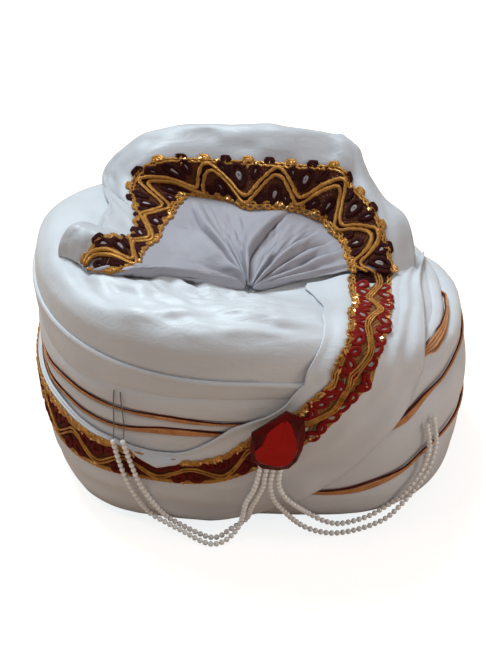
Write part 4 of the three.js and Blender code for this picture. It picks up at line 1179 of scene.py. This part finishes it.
def make_lace(name, node, strip, thread, lift, style):
    """Every part of one length of lace, from its loops to its foil."""
    lace = Lace(name, strip, thread, lift, style)
    x = np.linspace(0.6, lace.total - 0.6, int(lace.total / 1.5))
    pitch = lace.stretch * REPEAT / SCALLOPS
    lace.leaf_loops()
    lace.waves(x)
    lace.edges(x, pitch)
    if style["bumps"]:
        lace.bumps(pitch)
    if style["spikes"]:
        lace.spikes()
    lace.net()
    if style["spikes"]:
        lace.turned_end()
    lace.foil()
    for item in lace.made:
        finish_piece(item, node if item is lace.made[0] else None)
    return lace.made


def chips(name, centres, normals, angles):
    """Flat diamonds of foil, each turned by its own angle in the plane of the lace."""
    first = unit(np.cross(normals, [0.3, 0.5, 0.8]))
    second = np.cross(normals, first)
    c, s = np.cos(angles)[:, None], np.sin(angles)[:, None]
    long, wide = first * c + second * s, second * c - first * s
    corners = np.stack([centres + long * 2.0, centres + wide * 1.0, centres - long * 2.0,
                        centres - wide * 1.0, centres + normals * 0.9, centres - normals * 0.5], 1)
    faces = [(0, 1, 4), (1, 2, 4), (2, 3, 4), (3, 0, 4), (1, 0, 5), (2, 1, 5), (3, 2, 5), (0, 3, 5)]
    shift = (np.arange(len(centres)) * 6)[:, None, None]
    every = (np.array(faces)[None] + shift).reshape(-1, 3)
    points = corners.reshape(-1, 3)
    p = points[every]
    if np.einsum("ij,ij->", p[:, 0], np.cross(p[:, 1], p[:, 2])) < 0:
        every = every[:, ::-1]
    return piece(name, points, every.tolist(), np.zeros((len(every) * 3, 2)), FOIL, smooth=False)


def beads(name, centres, radius, material, sides=8, rows=5):
    """Balls on every centre: rings of latitude with a point at each pole."""
    lat = np.linspace(-np.pi / 2, np.pi / 2, rows + 2)[1:-1]
    lon = np.arange(sides) / sides * 2 * np.pi
    ring = join(np.cos(lat)[:, None] * np.cos(lon), np.cos(lat)[:, None] * np.sin(lon),
                np.sin(lat)[:, None] + 0 * lon).reshape(-1, 3)
    ball = np.concatenate([ring, [[0, 0, -1], [0, 0, 1]]]) * radius
    i, j = np.meshgrid(np.arange(rows - 1), np.arange(sides), indexing="ij")
    i, j = i.ravel(), j.ravel()
    quads = join(i * sides + j, i * sides + (j + 1) % sides,
                 (i + 1) * sides + (j + 1) % sides, (i + 1) * sides + j)
    k = np.arange(sides)
    low = join(rows * sides, (k + 1) % sides, k)
    high = join(rows * sides + 1, (rows - 1) * sides + k,
                (rows - 1) * sides + (k + 1) % sides)
    shift = (np.arange(len(centres)) * len(ball))[:, None, None]
    faces = (quads[None] + shift).reshape(-1, 4).tolist()
    faces += (np.concatenate([low, high])[None] + shift).reshape(-1, 3).tolist()
    points = (centres[:, None] + ball[None]).reshape(-1, 3)
    corners = len(centres) * (len(quads) * 4 + 2 * sides * 3)
    return piece(name, points, faces, np.zeros((corners, 2)), material)


# Pipings in the three lower creases: thin cords side by side
# how far each shows from under the fold above it: angle, share of its width
SHOWN = {
    1: [[-180, 0.8], [10, 0.3], [18, 0.6], [26, 1.2], [31, 1.6], [36, 1.2], [41, 0.5],
        [48, 0.35], [60, 0.3], [90, 0.5], [180, 0.8]],
    2: [[-180, 0.5], [-60, 0.35], [-45, 0.25], [-33, 0.35], [-26, 0.9], [-18, 1.4], [-12, 1.0],
        [-7, 0.5], [0, 0.4], [32, 0.2], [36, 0.9], [40, 1.6], [44, 1.2], [49, 0.5],
        [60, 0.3], [75, 0.3], [180, 0.8]],
    3: [[-180, 0.4], [-70, 0.2], [-55, 0.3], [-45, 0.45], [-38, 0.35], [-34, 0.1], [-31, 0.2],
        [-24, 0.6], [-17, 0.8], [-8, 0.2], [0, 0.3], [43, 0.15], [47, 0.5], [53, 1.3],
        [58, 1.2], [66, 0.75], [76, 0.35], [90, 0.2], [150, 0.3], [180, 0.6]],
}
# the piping of this crease goes under behind the right side, by this many millimetres
SUNK_CREASE, SUNK_DEPTH = 3, 4.5


def make_piping(k):
    """Five cords along crease k, four copper and a maroon one above, each at its own height
    and depth. They spread and thicken where more of the piping shows."""
    a = -180 + 360 * np.arange(STEPS * 2) / (STEPS * 2)
    v = crease(a, k)
    tall = by_side(TOP, a)
    swell = read(SHOWN[k], 1, a) * (1 + 0.12 * ring_noise(a, 30, 0 * a, 30 + k))
    thick = 0.3 + 0.42 * np.clip(swell, 0, 1.2)
    sunk = SUNK_DEPTH * (k == SUNK_CREASE) * ramp(a, 83, 90) * (1 - ramp(a, 150, 160))
    wobble = 0.12 * ring_noise(a, 90, 0 * a, 50 + k)
    paths = np.stack([
        off(a, v + (shift * swell + wobble) / tall, out - sunk)
        for shift, out in ((-1.7, -1.3), (-0.8, -0.6), (0.0, -0.7), (0.8, -0.6), (1.7, -1.3))])
    normal = np.broadcast_to(unit(off(a, v, 1.0) - off(a, v, 0.0)), paths.shape)
    side = side_vectors(paths, normal, closed=True)
    copper, maroon = slice(0, 4), slice(4, 5)
    for label, pick, material, share in (("copper", copper, COPPER, 1.0),
                                         ("maroon", maroon, DEEP_MAROON, 0.6)):
        item = tubes(f"piping_{k}_{label}", paths[pick], side[pick], normal[pick], thick * share,
                     0.55, material, closed=True)
        finish_piece(item, f"trim_{k}" if label == "copper" else None)


# Brooch: a cut stone on a thin plate
def stone_axes():
    """Middle, right, up and out of the stone's own frame."""
    at = off(STONE_AT["a"], STONE_AT["v"], STONE_AT["out"])
    right = np.array([np.cos(STONE_AT["a"] * RAD), np.sin(STONE_AT["a"] * RAD), 0])
    level = np.cos(STONE_AT["tip"] * RAD)
    out = np.array([right[1] * level, -right[0] * level, np.sin(STONE_AT["tip"] * RAD)])
    return at, right, np.cross(out, right), out


def make_brooch():
    """Stone rings: back, girdle, a ring of corners half a step on, and the table."""
    at, right, up, out = stone_axes()
    outline = np.array(STONE)
    between = (outline + np.roll(outline, -1, 0)) / 2

    def ring(shape, scale, z):
        """A ring of corners at height z from the plate's back."""
        flat = shape * scale
        return at + flat[:, :1] * right + flat[:, 1:] * up + z * out

    table = np.array(TABLE)
    half_way = (between * 0.95 + (table[:, :2] + np.roll(table[:, :2], -1, 0)) / 2) / 2
    top = at + table[:, :1] * right + table[:, 1:2] * up + table[:, 2:] * out
    rings = [ring(outline, 0.96, 1.9), ring(outline, 1.0, 3.6), ring(outline, 1.0, 4.9),
             ring(half_way, 1.0, 6.6), top]
    n = len(outline)
    middle = np.zeros((1, 2))
    points = np.concatenate(rings + [ring(middle, 1, 1.9), ring(middle, 1, 8.3)])
    k = np.arange(n)
    nxt = (k + 1) % n
    # bright holds each facet's painted light: 1 on the table, low and uneven on the back, the
    # girdle and the crown facets.
    faces, bright = [], []
    for row in (0, 1):
        quads = join(row * n + k, row * n + nxt, (row + 1) * n + nxt, (row + 1) * n + k)
        faces += quads.tolist()
        bright += [0.12] * n
    for low, high in ((2, 3), (3, 4)):
        lift = 1 if low == 2 else 0
        up_tri = join(low * n + k, low * n + nxt, high * n + (k if lift else nxt))
        down_tri = join(low * n + (nxt if lift else k), high * n + nxt, high * n + k)
        faces += up_tri.tolist() + down_tri.tolist()
        bright += (0.10 + 0.16 * ((k * 5) % 4) / 3).tolist()
        bright += (0.06 + 0.2 * ((k * 7) % 3) / 2).tolist()
    faces += join(nxt, k, 5 * n).tolist()
    bright += [0.1] * n
    faces += join(4 * n + k, 4 * n + nxt, 5 * n + 1).tolist()
    bright += [1.0] * n
    corners = sum(len(face) for face in faces)
    stone = piece("cut_stone", points, faces, np.zeros((corners, 2)), RED_STONE, smooth=False)
    # The attribute cut carries that painted light to the stone's material.
    layer = stone.data.attributes.new("cut", "FLOAT", "FACE")
    layer.data.foreach_set("value", bright)
    finish_piece(stone, "brooch_stone")
    rim = np.stack([ring(outline, 0.76, 0.0), ring(outline, 0.8, 0.4), ring(outline, 0.8, 1.2),
                    ring(outline, 0.76, 1.6)], 1)
    plate = skin("stone_plate", rim, PLATE, around=True,
                 poles=(at.tolist(), (at + 1.6 * out).tolist()))
    finish_piece(plate, "brooch_back")


# Bead strings and the two threads that hold the left one
def route(points, count):
    """Evenly spaced points along a smooth curve through the given ones. Without a count they
    are one bead apart."""
    knots = np.array([off(np.float64(p[1]), np.float64(p[2]), np.float64(p[3])) if p[0] == "c"
                      else np.array(p[1:], float) for p in points])
    chord = np.sqrt(np.linalg.norm(np.diff(knots, axis=0), axis=-1))
    key = np.r_[0, chord.cumsum()]
    dense_key = np.linspace(0, key[-1], 800)
    table = np.column_stack([key, knots])
    dense = np.stack([read(table, k, dense_key) for k in (1, 2, 3)], -1)
    run = np.r_[0, np.linalg.norm(np.diff(dense, axis=0), axis=-1).cumsum()]
    if count is None:
        count = int(run[-1] / (BEAD * BEAD_PITCH)) + 1
    even = np.linspace(0, run[-1], count)
    return np.stack([np.interp(even, run, dense[:, k]) for k in range(3)], -1)


def plain_tube(name, path, radius, material, sides=6):
    """A round tube whose side vector is the cross of its direction and upright."""
    direction = unit(np.gradient(path, axis=0))
    side = unit(np.cross(direction, [0.05, 0.1, 1.0]))
    normal = np.cross(side, direction)
    return tubes(name, path[None], side[None], normal[None], radius, radius, material, sides=sides)


def make_strings():
    """Beads on their cords, and the two sewing threads."""
    for name, points in STRANDS.items():
        centres = route(points, None)
        item = beads(f"{name}_pearls", centres, BEAD * BEAD_SHARE, PEARL)
        finish_piece(item, name)
        core = plain_tube(f"{name}_cord", route(points, 90), CORD_RADIUS, THREAD, sides=5)
        finish_piece(core, None)
    for name, points in THREADS.items():
        item = plain_tube(f"{name}_twist", route(points, 30), THREAD_RADIUS, THREAD)
        finish_piece(item, name)


make_lining()
make_crown()
for layer_number in range(5):
    make_wrap(layer_number)
for crease_number in (1, 2, 3):
    make_piping(crease_number)
hood_cloth = make_hood()
sash_cloth = make_sash()

station = np.linspace(0, len(HOOD) - 1, 700)
hood_rows = hood_grid(station, np.linspace(1.04, 2.0, 9))
over = np.linspace(0.1, 1, 10)[:, None, None]
onto = sash_point(np.array([0.7]), LACE_PLACES[None, :], 4.4)
reach = hood_rows[-1:] + (onto - hood_rows[-1:]) * over
hood_strip = strip_table(np.concatenate([hood_rows, reach]), GATHER)
# The hood's lace uses the maroon thread darkened as painted shade.
hood_lace = make_lace("hood_lace", "lace_hood", hood_strip, SHADED_MAROON, HOOD_THICK / 2 + 0.25,
                      HOOD_LACE)

front_strip, side_strip = sash_strip(0.0, 10.0, 0.45), sash_strip(10.06, 30.5)
front_lace = make_lace("front_lace", "lace_sash", front_strip, MAROON, LACE_LIFT, FRONT_LACE)
side_lace = make_lace("side_lace", "lace_wrap", side_strip, DEEP_MAROON, LACE_LIFT, SIDE_LACE)
make_brooch()
make_strings()

# Floor, light and tone: the camera sees the floor near white, and it throws back warm light
floor_mesh = bpy.data.meshes.new("floor")
floor_mesh.from_pydata([(-6, -6, 0), (6, -6, 0), (6, 6, 0), (-6, 6, 0)], [], [(0, 1, 2, 3)])
floor = bpy.data.objects.new("floor", floor_mesh)
scene.collection.objects.link(floor)
floor_material, floor_nodes, floor_shader = new_material("plain pale floor")
seen = floor_nodes.add("ShaderNodeLightPath").outputs["Is Camera Ray"]
floor_nodes.wire(floor_shader, {
    "Base Color": (0.52, 0.37, 0.27), "Emission Color": (0.93, 0.98, 1.0),
    "Emission Strength": floor_nodes.math("MULTIPLY", seen, 0.85),
    "Roughness": 0.9, "Specular IOR Level": 0.1})
floor_mesh.materials.append(floor_material)


def area_light(name, place, aim_at, size, power, tint):
    """A square soft light that looks at a point."""
    data = bpy.data.lights.new(name, "AREA")
    data.size, data.energy, data.color = size, power, tint
    lamp = bpy.data.objects.new(name, data)
    lamp.location = place
    lamp.rotation_euler = (Vector(aim_at) - Vector(place)).to_track_quat("-Z", "Y").to_euler()
    scene.collection.objects.link(lamp)


area_light("key", (-0.9, 1.3, 3.3), (0, 0, 0.08), 1.2, 116, (0.78, 0.925, 1.0))
area_light("left front", (-1.8, -0.7, 3.4), (-0.05, 0, 0.1), 0.9, 18, (0.82, 0.93, 1.0))
area_light("right fill", (3.0, -0.9, 1.2), (0, 0, 0.06), 1.2, 20, (1.0, 0.975, 0.96))
world = bpy.data.worlds.new("room")
scene.world = world
world.use_nodes = True
Nodes(world.node_tree).wire(world.node_tree.nodes["Background"], {0: (1.0, 0.935, 0.89), 1: 0.3})
scene.view_settings.view_transform = "Standard"
scene.view_settings.exposure = 0.0
